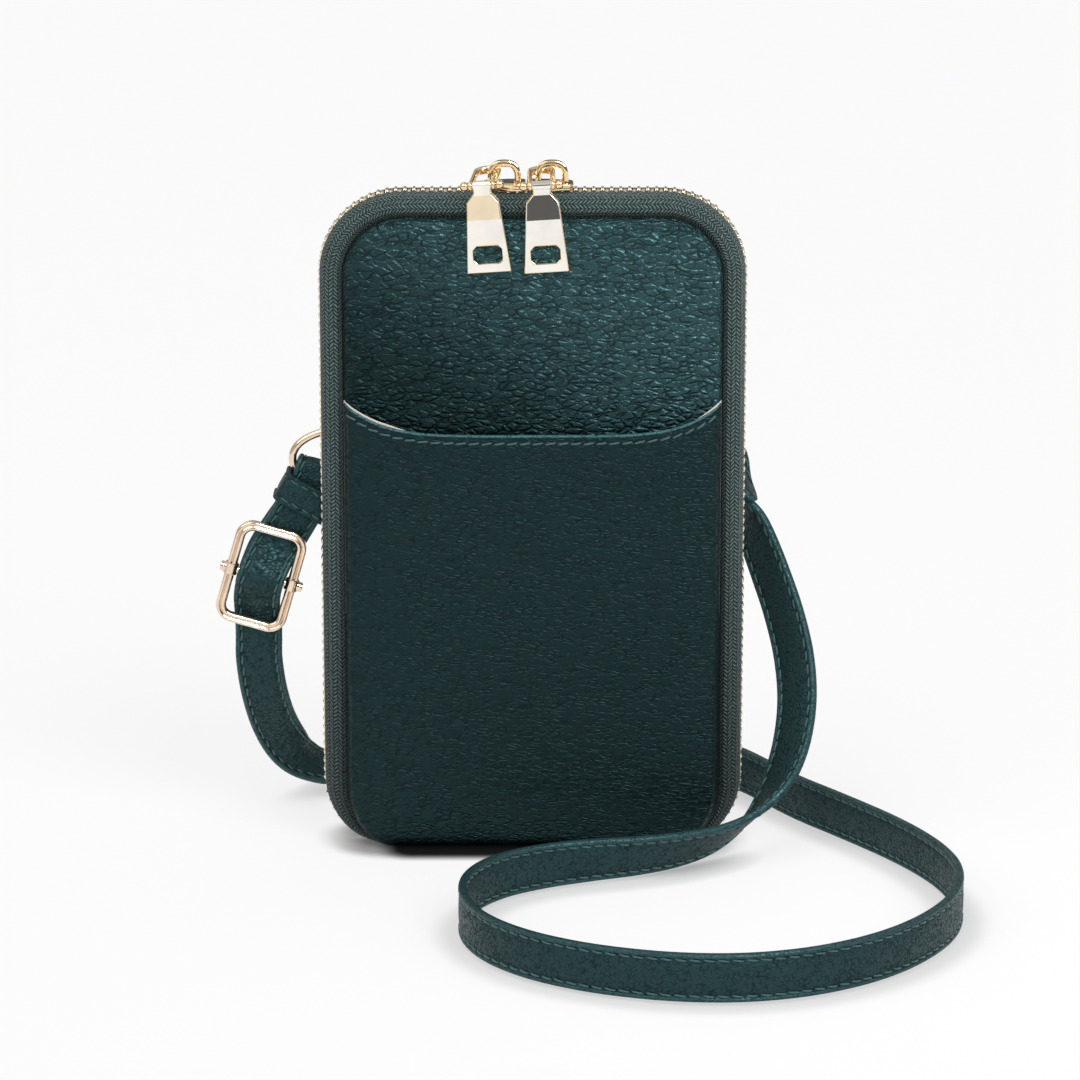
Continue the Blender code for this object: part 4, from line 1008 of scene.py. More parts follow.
def strap_pieces(look):
    """The strap in three lengths: the free one, and the one through each ring."""
    whole = LEFT_END_ROUTE + MAIN_ROUTE + RIGHT_END_ROUTE
    places, across = smooth_route(whole)
    first = (len(LEFT_END_ROUTE) + LEFT_BLEND_POINTS) * ROUTE_STEPS
    second = (len(LEFT_END_ROUTE) + len(MAIN_ROUTE) - RIGHT_BLEND_POINTS) * ROUTE_STEPS
    spans = {
        "strap_left_leather": (0, first), "strap_leather": (first, second),
        "strap_right_leather": (second, len(places) - 1),
    }
    made = {}
    for name, (start, end) in spans.items():
        part = slice(start, end + 1)
        body = sharp(swept(name, places[part], across[part], strap_section(), look["strap"]), 60)
        paint_strap_edge_highlights(body, look["strap_edge"])
        thread = strap_stitches(name + "_stitches", places[part], across[part], look["thread"])
        made[name] = (body, thread, places[part])
    return made


def set_inputs(tree, made, values):
    """Each value is a number or a colour for its input, or the output that it is linked to."""
    for key, value in values.items():
        if isinstance(value, bpy.types.NodeSocket):
            tree.links.new(value, made.inputs[key])
        else:
            made.inputs[key].default_value = value


def node(tree, kind, values=None, **settings):
    made = tree.nodes.new(kind)
    for key, value in settings.items():
        setattr(made, key, value)
    set_inputs(tree, made, values or {})
    return made


def new_material(name, colour, roughness, metallic=0.0):
    made = bpy.data.materials.new(name)
    made.use_nodes = True
    shader = made.node_tree.nodes["Principled BSDF"]
    set_inputs(made.node_tree, shader, {
        "Base Color": (*colour, 1), "Roughness": roughness, "Metallic": metallic,
    })
    return made, made.node_tree, shader


def coordinates(tree, scale=(1, 1, 1)):
    where = node(tree, "ShaderNodeTexCoord").outputs["Object"]
    return node(tree, "ShaderNodeMapping", {"Scale": scale, "Vector": where}).outputs["Vector"]


def vector_node(tree, operation, first, second=None, output="Vector", **values):
    places = {0: first} if second is None else {0: first, 1: second}
    made = node(tree, "ShaderNodeVectorMath", {**places, **values}, operation=operation)
    return made.outputs[output]


def noise(tree, scale, detail, vector=None, output="Fac"):
    values = {"Scale": scale, "Detail": detail}
    if vector is not None:
        values["Vector"] = vector
    return node(tree, "ShaderNodeTexNoise", values).outputs[output]


def warped(tree, vector, scale, amount):
    """A vector pushed about by noise, so that cells on it look grown."""
    centred = vector_node(tree, "SUBTRACT", noise(tree, scale, 2.0, vector, "Color"),
                          (0.5, 0.5, 0.5))
    return vector_node(tree, "ADD", vector, vector_node(tree, "SCALE", centred, Scale=amount))


def ramp(tree, value, stops):
    made = node(tree, "ShaderNodeValToRGB", {"Fac": value})
    elements = made.color_ramp.elements
    while len(elements) > 1:
        elements.remove(elements[-1])
    elements[0].position, elements[0].color = stops[0][0], (*stops[0][1], 1)
    for position, colour in stops[1:]:
        elements.new(position).color = (*colour, 1)
    return made.outputs["Color"]


def math_node(tree, operation, *values, clamp=False):
    made = node(tree, "ShaderNodeMath", dict(enumerate(values)), operation=operation,
                use_clamp=clamp)
    return made.outputs["Value"]


def plus(tree, a, b, clamp=False):
    return math_node(tree, "ADD", a, b, clamp=clamp)


def times(tree, a, b):
    return math_node(tree, "MULTIPLY", a, b)


def bump(tree, shader, height, distance, strength=1.0):
    made = node(tree, "ShaderNodeBump", {
        "Strength": strength, "Distance": distance, "Height": height,
    })
    set_inputs(tree, shader, {"Normal": made.outputs["Normal"]})


def grey(value):
    return (value, value, value)


def dimmed(colour, share):
    return tuple(min(share * c, 1) for c in colour)


def leather(name, colour, light, cells, depth, roughness, shine, worn, lighter=None):
    """Pebbled leather: low rounded cells between creases that come and go, and a fine grain.

    lighter gives two places between which the leather goes from dark to full colour and shine:
    painted shade and painted light.
    """
    made, tree, shader = new_material(name, colour, roughness)
    vector = warped(tree, coordinates(tree, cells), 0.5, 1.1)
    edges = node(tree, "ShaderNodeTexVoronoi", {"Vector": vector, "Scale": 1.0, "Randomness": 1.0},
                 feature="DISTANCE_TO_EDGE")
    flank = math_node(tree, "SUBTRACT", 1.0,
                      math_node(tree, "DIVIDE", edges.outputs["Distance"], CELL_FLANK), clamp=True)
    fine = noise(tree, 4.0, 4.0, vector)
    strength = ramp(tree, noise(tree, 0.75, 2.0, vector), [(0.34, grey(worn)), (0.6, grey(1.0))])
    fall = times(tree, math_node(tree, "POWER", flank, 1.7), strength)
    height = math_node(tree, "SUBTRACT", times(tree, fine, 0.22), fall)
    tone = math_node(tree, "SUBTRACT", times(tree, fine, 0.5), math_node(tree, "POWER", fall, 2.0))
    # Painted shade and highlight: the creases are painted darker, and the cell tops take the
    # lighter highlight colour
    shade = ramp(tree, plus(tree, tone, 0.6, clamp=True), [
        (0.1, dimmed(colour, CREASE_SHADE)), (0.6, colour), (1.0, light),
    ])
    shade = shaded_in_grooves(tree, shade)
    level = shine
    # Painted light and shade: colour and shine go from dark at one place to full at the other
    if lighter is not None:
        share = position_share(tree, *lighter)
        shade = multiplied(tree, shade, math_node(tree, "MULTIPLY_ADD", share, 0.7, 0.3))
        level = times(tree, math_node(tree, "MULTIPLY_ADD", share, 0.65, 0.35), shine)
    rough = [(0.0, grey(roughness)), (0.6, grey(min(roughness + 0.3, 1)))]
    set_inputs(tree, shader, {
        "Base Color": shade, "Roughness": ramp(tree, fall, rough), "Specular IOR Level": level,
        "Specular Tint": (0.42, 0.92, 1.0, 1.0),
    })
    bump(tree, shader, height, depth)
    return made


def shaded_in_grooves(tree, colour):
    """The colour, darker where other surfaces come close."""
    nearness = node(tree, "ShaderNodeAmbientOcclusion", {"Distance": GROOVE_REACH}, samples=6)
    stops = [(0.3, grey(0.03)), (0.62, grey(0.7)), (0.8, grey(1.0))]
    return multiplied(tree, colour, ramp(tree, nearness.outputs["AO"], stops))


def mapped(tree, value, low, high, start, end):
    """A value taken smoothly from one range to another."""
    made = node(tree, "ShaderNodeMapRange", {
        "Value": value, "From Min": low, "From Max": high, "To Min": start, "To Max": end,
    }, interpolation_type="SMOOTHSTEP")
    return made.outputs["Result"]


def position_share(tree, start, end):
    """0 at one place of the object and 1 at another, smoothly, along the line between them."""
    way = end - start
    where = node(tree, "ShaderNodeTexCoord").outputs["Object"]
    along = vector_node(tree, "DOT_PRODUCT", vector_node(tree, "SUBTRACT", where, start),
                        way / way.length_squared, "Value")
    return mapped(tree, along, 0.0, 1.0, 0.0, 1.0)


def multiplied(tree, colour, value):
    return vector_node(tree, "SCALE", colour, Scale=value)


def tape_material(name):
    """Woven zip tape: bands of slanted ribs that turn at each band, on UV in metres."""
    made, tree, shader = new_material(name, (0.045, 0.065, 0.062), 0.75)
    where = node(tree, "ShaderNodeUVMap", uv_map="along").outputs["UV"]
    parts = node(tree, "ShaderNodeSeparateXYZ", {"Vector": where})
    zigzag = math_node(tree, "PINGPONG", times(tree, parts.outputs["Y"], 1.0 / TAPE_BAND), 1.0)
    along = times(tree, parts.outputs["X"], 1.0 / TAPE_RIB)
    thread = noise(tree, 2600.0, 3.0, coordinates(tree))
    uneven = times(tree, noise(tree, 900.0, 2.0, coordinates(tree)), 0.9)
    phase = plus(tree, plus(tree, along, times(tree, zigzag, 1.15)), uneven)
    wave = math_node(tree, "SINE", times(tree, phase, 2 * math.pi))
    ribs = plus(tree, times(tree, wave, 0.5), 0.5)
    grooves = math_node(tree, "SINE", times(tree, zigzag, math.pi))
    ribs = times(tree, ribs, plus(tree, grooves, 0.35, clamp=True))
    colour = ramp(tree, plus(tree, times(tree, ribs, 0.55), times(tree, thread, 0.6)), [
        (0.3, (0.005, 0.012, 0.012)), (0.6, (0.040, 0.072, 0.070)), (0.95, (0.16, 0.225, 0.22)),
    ])
    # Painted shade: the tape darkens towards the floor, to 0.55 of its colour at the bottom
    share = position_share(tree, Vector((0, 0, 0)), Vector((0, 0, TAPE_PAINTED_SHADE_HEIGHT)))
    colour = multiplied(tree, colour, math_node(tree, "MULTIPLY_ADD", share, 0.45, 0.55))
    set_inputs(tree, shader, {
        "Base Color": shaded_in_grooves(tree, colour), "Sheen Weight": 0.1,
        "Sheen Roughness": 0.4, "Specular IOR Level": 0.25,
    })
    bump(tree, shader, plus(tree, ribs, times(tree, thread, 0.35)), TAPE_RELIEF)
    return made


def woven(name, colour, pitch):
    """A plain woven cloth in object coordinates."""
    made, tree, shader = new_material(name, colour, 0.85)
    parts = node(tree, "ShaderNodeSeparateXYZ", {"Vector": coordinates(tree, grey(1 / pitch))})
    warp, weft = (math_node(tree, "SINE", times(tree, parts.outputs[axis], math.pi))
                  for axis in ("X", "Z"))
    weave = plus(tree, times(tree, times(tree, warp, weft), 0.5), 0.5)
    tone = plus(tree, times(tree, weave, 0.5), times(tree, noise(tree, 300.0, 5.0), 0.5))
    stops = [(0.2, dimmed(colour, 0.72)), (0.8, dimmed(colour, 1.12))]
    set_inputs(tree, shader, {"Base Color": ramp(tree, tone, stops), "Sheen Weight": 0.2})
    bump(tree, shader, weave, CLOTH_RELIEF, 0.8)
    return made


def thread_material(name, colour):
    """Twisted sewing thread."""
    made, tree, shader = new_material(name, colour, 0.55)
    waves = node(tree, "ShaderNodeTexWave", {
        "Scale": 900.0, "Distortion": 1.0, "Vector": coordinates(tree),
    }, wave_type="BANDS", bands_direction="DIAGONAL").outputs["Fac"]
    stops = [(0.2, dimmed(colour, 0.55)), (0.8, colour)]
    set_inputs(tree, shader, {"Base Color": ramp(tree, waves, stops), "Sheen Weight": 0.3})
    bump(tree, shader, waves, THREAD_RELIEF, 0.7)
    return made


def gold_material(name, colour, roughness, wear):
    """Plated metal with faint handling marks and small changes of polish."""
    made, tree, shader = new_material(name, colour, roughness, 1.0)
    marks = noise(tree, 700.0, 6.0, coordinates(tree))
    broad = noise(tree, 140.0, 2.0, coordinates(tree))
    polish = [(0.3, grey(roughness)), (0.75, grey(roughness + wear))]
    tones = [(0.35, colour), (0.8, dimmed(colour, 0.86))]
    set_inputs(tree, shader, {
        "Roughness": ramp(tree, broad, polish), "Base Color": ramp(tree, broad, tones),
    })
    bump(tree, shader, marks, METAL_RELIEF, 0.25)
    return made


def board_material(name):
    """Pressed fibre board."""
    made, tree, shader = new_material(name, (0.32, 0.29, 0.25), 0.9)
    fibres = noise(tree, 900.0, 8.0, coordinates(tree, (1, 1, 3)))
    stops = [(0.3, (0.2, 0.17, 0.14)), (0.7, (0.4, 0.37, 0.32))]
    set_inputs(tree, shader, {"Base Color": ramp(tree, fibres, stops)})
    bump(tree, shader, fibres, BOARD_RELIEF, 0.6)
    return made


def materials():
    return {
        **{key: leather(*values) for key, values in LEATHERS.items()},
        "tape": tape_material("herringbone_tape"),
        **{key: woven(*values) for key, values in CLOTHS.items()},
        **{key: thread_material(*values) for key, values in THREADS.items()},
        **{key: gold_material(*values) for key, values in METALS.items()},
        "board": board_material("fibre_board"),
    }


def camera():
    """The photograph's camera."""
    data = bpy.data.cameras.new("camera")
    data.lens = LENS
    data.sensor_width = SENSOR
    made = placed("camera", data)
    made.location = EYE
    made.rotation_euler = (math.pi / 2 - LOOK_DOWN, 0, 0)
    bpy.context.scene.camera = made


def lit_studio():
    """A white floor, the room's light, three far lamps and a near one."""
    bpy.context.scene.view_settings.view_transform = "Standard"
    room_light()
    for name, (turn, strength, size, shadow) in FAR_LAMPS.items():
        data = bpy.data.lights.new(name, "SUN")
        data.energy = strength
        data.angle = math.radians(size)
        data.use_shadow = shadow
        placed(name, data).rotation_euler = [math.radians(a) for a in turn]
    near_lamp()
    half = FLOOR_HALF_WIDTH
    square = ((-half, -half), (half, -half), (half, half), (-half, half))
    around = [(x, y, -FLOOR_BELOW) for x, y in square]
    mesh_object("floor", around, [(0, 1, 2, 3)], floor_material())


def room_light():
    """A room that is bright above and dark at eye height, with a bright card on the left."""
    world = bpy.data.worlds.new("studio")
    world.use_nodes = True
    bpy.context.scene.world = world
    tree = world.node_tree
    where = node(tree, "ShaderNodeTexCoord").outputs["Generated"]
    parts = node(tree, "ShaderNodeSeparateXYZ", {"Vector": where})
    room = ramp(tree, parts.outputs["Z"], [
        (0.0, grey(0.26)), (0.05, grey(0.21)), (0.30, grey(0.12)), (0.46, grey(0.95)),
        (0.8, grey(1.0)), (1.0, grey(0.75)),
    ])
    card = ramp(tree, times(tree, parts.outputs["X"], -1.0), [
        (0.13, grey(0.0)), (0.19, CARD_LIGHT), (0.32, CARD_LIGHT), (0.42, grey(0.3)),
        (0.6, grey(0.7)), (1.0, grey(0.8)),
    ])
    lighter = node(tree, "ShaderNodeMix", {"Factor": 1.0, "A": room, "B": card},
                   data_type="RGBA", blend_type="LIGHTEN")
    set_inputs(tree, tree.nodes["Background"], {
        "Color": lighter.outputs["Result"], "Strength": ROOM_STRENGTH,
    })


def near_lamp():
    """A small lamp close to the upper right corner, so that the leather is lighter there."""
    data = bpy.data.lights.new("near_lamp", "AREA")
    data.energy = NEAR_LAMP_POWER
    data.size = NEAR_LAMP_SIZE
    data.use_shadow = False
    lamp = placed("near_lamp", data)
    lamp.location = NEAR_LAMP_PLACE
    lamp.rotation_euler = (NEAR_LAMP_AIM - NEAR_LAMP_PLACE).to_track_quat("-Z", "Y").to_euler()


def distance_from_case(tree):
    """How far a place on the floor lies from the foot of the case."""
    where = node(tree, "ShaderNodeNewGeometry").outputs["Position"]
    past = vector_node(tree, "SUBTRACT", vector_node(tree, "ABSOLUTE", where), (*CASE_FOOT, 1.0))
    return vector_node(tree, "LENGTH", vector_node(tree, "MAXIMUM", past, (0.0, 0.0, 0.0)),
                       output="Value")


def floor_material():
    """A white floor that keeps a faint share of the lamps' shadows where it is seen straight or
    mirrored, with painted shadow near things and round the case's foot.
    """
    made, tree, shader = new_material("floor_white", FLOOR_COLOUR, 0.95)
    # Painted shadow: contact shade from nearness to things, fainter far from the case, and a dark
    # band round the case's foot, in both the glow and the base colour
    from_case = distance_from_case(tree)
    nearness = node(tree, "ShaderNodeAmbientOcclusion", {"Distance": CONTACT_REACH})
    shade = ramp(tree, nearness.outputs["AO"], [
        (0.58, grey(1.0)), (0.70, grey(0.92)), (0.82, grey(0.53)), (0.96, grey(0.0)),
    ])
    near, far, faint = FAR_CONTACT
    shade = times(tree, shade, mapped(tree, from_case, near, far, 1.0, faint))
    near, far, dark = FOOT_SHADOW
    foot = mapped(tree, from_case, near, far, dark, 1.0)
    lit = times(tree, math_node(tree, "SUBTRACT", 1.0, shade), foot)
    glow = node(tree, "ShaderNodeEmission", {"Color": times(tree, lit, FLOOR_WHITE)})
    plain = node(tree, "ShaderNodeRGB").outputs[0]
    plain.default_value = (*FLOOR_COLOUR, 1)
    set_inputs(tree, shader, {
        "Base Color": multiplied(tree, plain, foot), "Specular IOR Level": 0.0,
    })
    path = node(tree, "ShaderNodeLightPath")
    seen = plus(tree, path.outputs["Is Camera Ray"], path.outputs["Is Glossy Ray"], clamp=True)
    mix = node(tree, "ShaderNodeMixShader", {
        "Fac": times(tree, seen, 1 - SHADOW_SHARE), 1: shader.outputs["BSDF"],
        2: glow.outputs["Emission"],
    })
    set_inputs(tree, tree.nodes["Material Output"], {"Surface": mix.outputs["Shader"]})
    return made


def dress(piece, body, replaced=None):
    """What a piece rides on, and the solid that it stands for."""
    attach(piece, body)
    if replaced is not None:
        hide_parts(replaced)


def cords(look):
    """The strap comes before the other pieces."""
    made = strap_pieces(look)
    for side, (low, high) in STRAP_BLEND_HEIGHTS.items():
        piece, thread, _ = made["strap_" + side + "_leather"]
        for part in (piece, thread):
            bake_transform(part)
        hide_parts("strap_" + side + "_end")
    piece, thread, places = made["strap_leather"]
    dress(piece, "back_half", "strap")
    dress(thread, "back_half")
    length = float(along_lengths(places)[-1])
    others = [made[n][k] for n in ("strap_left_leather", "strap_right_leather") for k in (0, 1)]
    return piece, places, length, [thread, *others]


def case_pieces(look):
    """The leather, cloth and zip of the case."""
    front = panel("front_leather", -1, look["leather"])
    back = panel("back_leather", 1, look["back"])
    slip = pocket("slip_pocket_leather", look["pocket"], look["lip"])
    lining = pocket_lining("pocket_lining_cloth", look["lining"])
    dress(front, "front_half", "front_panel")
    dress(back, "back_half", "back_panel")
    dress(slip, "front_half", "slip_pocket")
    dress(lining, "front_half", "slip_pocket_lining")
    for word, side, phase in (("front", -1, 0.0), ("back", 1, 0.5)):
        tape = zip_tape(word + "_tape_cloth", side, look["tape"])
        dress(tape, word + "_half", word + "_zip_tape")
        row = teeth_row(word + "_teeth_row", side, phase, look["teeth"])
        dress(row, word + "_half", word + "_teeth")
    lip_stitching(look)


def lip_stitching(look):
    """The line of stitches that follows the pocket's lip."""
    half_width = PANEL_HALF_WIDTH - LIP_STITCH_ENDS
    steps = 120
    middles = []
    for i in range(steps + 1):
        x = -half_width + 2 * half_width * i / steps
        z = lip_height(x) - LIP_STITCH_DROP
        middles.append(Vector((x, -pocket_depth(x, z) - LIP_STITCH_PROUD, z)))
    seats = resampled(middles, [-Y_AXIS] * len(middles), LIP_STITCH_PITCH, LIP_STITCH_START)
    made = stitches("lip_stitches", seats, look["thread"], LIP_STITCH_HALF_LENGTH,
                    slant=LIP_STITCH_SLANT)
    dress(made, "front_half")


def lining_sheet(word, side, material):
    """The lining of one half: a thin cloth sheet, a little puckered."""
    flat = filled_in([panel_line(LINING_INSET + d * MM, 6, 10) for d in (0, 1, 3, 8)], 10,
                     *LINING_MIDDLE)
    rows = [
        [(x, side * LINING_DEPTH + soft_waves(x * 2, z * 2, LINING_WAVES), z) for x, z in row]
        for row in flat
    ]
    made = outward(grid_object(word + "_lining_cloth", rows, material, wrap=True))
    dress(thickened(made, LINING_THICKNESS), word + "_half", word + "_lining")


def card_slot(name, top, near, look):
    """A card slot: a cloth leaf with a rolled mouth and a stitched hem."""
    half_width = PANEL_HALF_WIDTH - LINING_INSET
    columns, steps = 24, 40
    profile = [(0.0, SLOT_FLOOR), (0.0, SLOT_FLOOR + SLOT_FOOT)]
    profile += [(0.0, SLOT_FLOOR + (top - SLOT_FLOOR) * share) for share in (0.3, 0.5, 0.7, 0.85)]
    mouth = ((-0.1, 3.0), (-0.1, 0.5), (0.05, 0.1), (0.3, 0.0), (0.55, 0.1), (0.6, 0.6))
    profile += [(depth * MM, top - drop * MM) for depth, drop in mouth]
    profile.append((SLOT_THICKNESS, SLOT_FLOOR))
    rows = [[(half_width * (2 * j / columns - 1), near + depth, z) for j in range(columns + 1)]
            for depth, z in profile]
    leaf = grid_object(name + "_cloth", rows, look["slots"])
    middles = [
        Vector((half_width * 0.98 * (2 * i / steps - 1), near - SLOT_STITCH_PROUD, top - SLOT_HEM))
        for i in range(steps + 1)
    ]
    seats = resampled(middles, [-Y_AXIS] * len(middles), SLOT_STITCH_PITCH, MM)
    hem = stitches(name + "_stitches", seats, look["pale_thread"], *SLOT_STITCH)
    dress(leaf, "back_half", name)
    dress(hem, "back_half")


def inside_pieces(look):
    lining_sheet("front", -1, look["lining"])
    lining_sheet("back", 1, look["lining"])
    for name, (top, near) in CARD_SLOTS.items():
        card_slot(name, top, near, look)


def prism(name, outline, low, high, material):
    points = [(x, y, low) for x, y in outline] + [(x, y, high) for x, y in outline]
    size = len(outline)
    faces = [tuple(reversed(range(size))), tuple(range(size, 2 * size))]
    faces += [(i, (i + 1) % size, size + (i + 1) % size, size + i) for i in range(size)]
    return mesh_object(name, points, faces, material)


def base_piece(look):
    """The leather under the case."""
    half_width = TEETH_HALF_WIDTH - TEETH_BOTTOM_RADIUS - BASE_GAP
    corner = BASE_HALF_DEPTH / 2
    outline = rounded_box(half_width, -BASE_HALF_DEPTH, BASE_HALF_DEPTH, corner, corner, 6)
    made = outward(prism("base_leather", outline, 0.0, BASE_THICKNESS, look["back"]))
    dress(sharp(bevelled(made, BASE_EDGE, 3)), "back_half", "base_panel")


def slider_top():
    return TEETH_TOP + SLIDER_CHANNEL + SLIDER_PLATE


def slider_x(side):
    return SLIDERS_MIDDLE + SIDES[side] * SLIDERS_APART / 2


def slider(side, look):
    """A slider: two plates, flanges that turn in round the teeth, a post and a bridge."""
    half = SLIDER_LENGTH / 2
    taper_start, taper_end = -half / 2, half / 8
    wide, narrow = SLIDER_WIDE + SLIDER_FLANGE, SLIDER_NARROW + SLIDER_FLANGE
    nose_length, nose_width = SLIDER_NOSE
    tail_length, tail_width = SLIDER_TAIL
    edge = [(half, SLIDER_WIDE + nose_width), (half - nose_length, wide), (taper_end, wide),
            (taper_start, narrow), (tail_length - half, narrow)]
    inner = [(-half, SLIDER_NARROW), (taper_start, SLIDER_NARROW), (taper_end, SLIDER_WIDE),
             (half, SLIDER_WIDE)]
    body = mirrored(edge + [(-half, SLIDER_NARROW - tail_width)])
    height = SLIDER_CHANNEL + SLIDER_PLATE
    wall_height = SLIDER_CHANNEL + SLIDER_WALL_LAP
    pieces = []
    for sign in (1, -1):
        low, high = sorted((sign * SLIDER_CHANNEL, sign * height))
        flat = outward(prism("plate", body, low, high, look["gold"]))
        pieces.append(bevelled(flat, SLIDER_EDGE, 3))
        low, high = sorted((sign * TAPE_SLOT / 2, sign * wall_height))
        for way in (1, -1):
            outline = [(x, way * y) for x, y in edge + inner]
            wall = outward(prism("wall", outline, low, high, look["gold"]))
            pieces.append(bevelled(wall, SLIDER_WALL_EDGE))
    post = mirrored([(half - POST_BACK, POST_TIP), (half / 2, POST_HALF_WIDTH),
                     (half / 4, POST_TIP)])
    pieces.append(outward(prism("post", post, -SLIDER_CHANNEL, SLIDER_CHANNEL, look["gold"])))
    pieces.append(bridge(height, look))
    name = "slider_" + side
    made = joined(name + "_cast", pieces)
    turn = 0.0 if side == "left" else math.pi
    made.data.transform(Matrix.Translation((slider_x(side), 0, TEETH_TOP))
                        @ Matrix.Rotation(turn, 4, "Z"))
    dress(sharp(made), name, name)


def bridge(height, look):
    """The bridge over a slider, a band with rounded edges."""
    foot = height - SLIDER_PLATE / 2
    places = [Vector((-ARCH_HALF_SPAN, 0, foot))]
    for x, z in arc((0, 0), 1, 180, 0, 28):
        wide = math.copysign(abs(x) ** 0.8, x)
        places.append(Vector((ARCH_HALF_SPAN * wide, 0, height + ARCH_RISE * abs(z) ** 0.5)))
    places.append(Vector((ARCH_HALF_SPAN, 0, foot)))
    upper = [(1, 0.45), (0.8, 0.9), (0.3, 1), (-0.3, 1), (-0.8, 0.9), (-1, 0.45)]
    section = [(a * ARCH_HALF_WIDTH, b * ARCH_HALF_THICKNESS) for a, b in mirrored(upper)]
    return swept("bridge", places, Y_AXIS, section, look["gold"])


def link_place(side):
    """The link's own frame: its pivot on the bridge, turned as the link lies."""
    post_x = slider_x(side) - ARCH_HALF_SPAN
    pivot = Vector((post_x + LINK_SHIFTS[side], 0, slider_top() + LINK_HEIGHT))
    return (Matrix.Translation(pivot) @ Matrix.Rotation(LINK_YAWS[side], 4, "Z")
            @ Matrix.Rotation(LINK_ROLLS[side], 4, "Y"))


def pin_frame(side):
    """The middle of the pin, in the link's frame turned as the link lies."""
    drop = Vector((0, -LINK_REACH * math.cos(LINK_DROP_ANGLE),
                   -LINK_REACH * math.sin(LINK_DROP_ANGLE)))
    return link_place(side) @ Matrix.Translation(drop)


def turned(name, profile, material, steps=20):
    """A body turned about the X axis; the profile's points are (x, radius)."""
    points = []
    for x, radius in profile:
        for j in range(steps):
            angle = 2 * math.pi * j / steps
            points.append((x, radius * math.cos(angle), radius * math.sin(angle)))
    faces = grid_faces(len(profile), steps, wrap_columns=True)
    return outward(mesh_object(name, points, faces, material))


def mirrored_profile(half):
    """A turned body's whole profile from its half, which starts at its middle."""
    return [(-x, radius) for x, radius in reversed(half[1:])] + half


def tube_profile(near, far, hole, radius, chamfer, fall):
    """A turned tube's profile. Its corners are cut by chamfer along and fall inwards."""
    return [(near, hole), (near, radius - fall), (near + chamfer, radius),
            (far - chamfer, radius), (far, radius - fall), (far, hole), (near, hole)]


def link_piece(side, look):
    """The bent link with an eye at each end."""
    bend_centre = LINK_REACH + LINK_BEHIND - LINK_HALF_WIDTH
    left, right = -LINK_HALF_WIDTH, LINK_HALF_WIDTH
    flat = [(left, 0)] + line((left, 0), (left, bend_centre), 8)
    flat += arc((0, bend_centre), LINK_HALF_WIDTH, 180, 0, 24)
    flat += line((right, bend_centre), (right, 0), 8) + [(right, 0)]
    lay = pin_frame(side) @ Matrix.Rotation(LINK_DROP_ANGLE, 4, "X")
    places = [lay @ Vector((x, y, 0)) for x, y in flat]
    pieces = [swept("wire", places, lay.to_3x3() @ Z_AXIS, oval(*LINK_WIRE, 14), look["gold"])]
    for middle in (left, right):
        profile = tube_profile(middle - EYE_HALF_LENGTH, middle + EYE_HALF_LENGTH, EYE_HOLE,
                               EYE_RADIUS, EYE_CHAMFER, EYE_CHAMFER)
        eye = turned("eye", profile, look["gold"])
        eye.data.transform(pin_frame(side))
        pieces.append(eye)
    name = "link_" + side
    dress(sharp(joined(name + "_wire", pieces), 50), name, name)


def pin_piece(side, look):
    """The pull's pin: a shaft with a collar and a ball at each end."""
    half = [(0.0, 0.6), (3.45, 0.6), (3.56, 0.62), (3.56, 0.95), (3.7, 1.02), (3.85, 0.8)]
    half = [(x * MM, radius * MM) for x, radius in half]
    ball = arc((PIN_BALL_MIDDLE, 0), PIN_BALL_RADIUS, 140, 0, 8)
    half += [(x, max(radius, 0.0)) for x, radius in ball]
    name = "pull_pin_" + side
    made = turned(name + "_turned", mirrored_profile(half), look["gold"])
    made.data.transform(pin_frame(side))
    dress(made, "link_" + side, name)


def plate(name, outer, inner, half_thickness, edge, material, edge_material):
    """A flat plate with a hole and softened edges, lying in XY."""
    curve = bpy.data.curves.new(name, "CURVE")
    curve.dimensions = "2D"
    curve.fill_mode = "BOTH"
    curve.extrude = half_thickness
    for outline in (outer, inner):
        spline = curve.splines.new("POLY")
        spline.points.add(len(outline) - 1)
        for point, (x, y) in zip(spline.points, outline):
            point.co = (x, y, 0, 1)
        spline.use_cyclic_u = True
    holder = placed(name, curve)
    graph = bpy.context.evaluated_depsgraph_get()
    mesh = bpy.data.meshes.new_from_object(holder.evaluated_get(graph))
    bpy.data.objects.remove(holder, do_unlink=True)
    made = outward(placed(name, mesh), MM / 100)
    mesh.materials.append(material)
    mesh.materials.append(edge_material)
    bevelled(made, edge, 3, 30).modifiers["edges"].material = 1
    return made


def facet_wedge(look):
    """The slanted facet on a pull's front, widest and proudest at its foot."""
    front = -PULL_THICKNESS / 2
    top = FACET_TOP[1]
    right = []
    for half_width, drop in (FACET_FOOT, FACET_SHOULDER, FACET_TOP):
        proud = FACET_PROUD * (drop - top) / (FACET_FOOT[1] - top)
        right.append((half_width, front - proud, -drop))
    left = [(-x, y, z) for x, y, z in reversed(right)]
    face = [left[-1], *right, *left[:-1]]
    rear = [(x, front + FACET_SUNK, z) for x, _, z in face]
    size = len(face)
    faces = [tuple(range(size)), tuple(reversed(range(size, 2 * size)))]
    faces += [(i, i + size, (i + 1) % size + size, (i + 1) % size) for i in range(size)]
    return bevelled(outward(mesh_object("wedge", face + rear, faces, look["polished"])), FACET_EDGE)


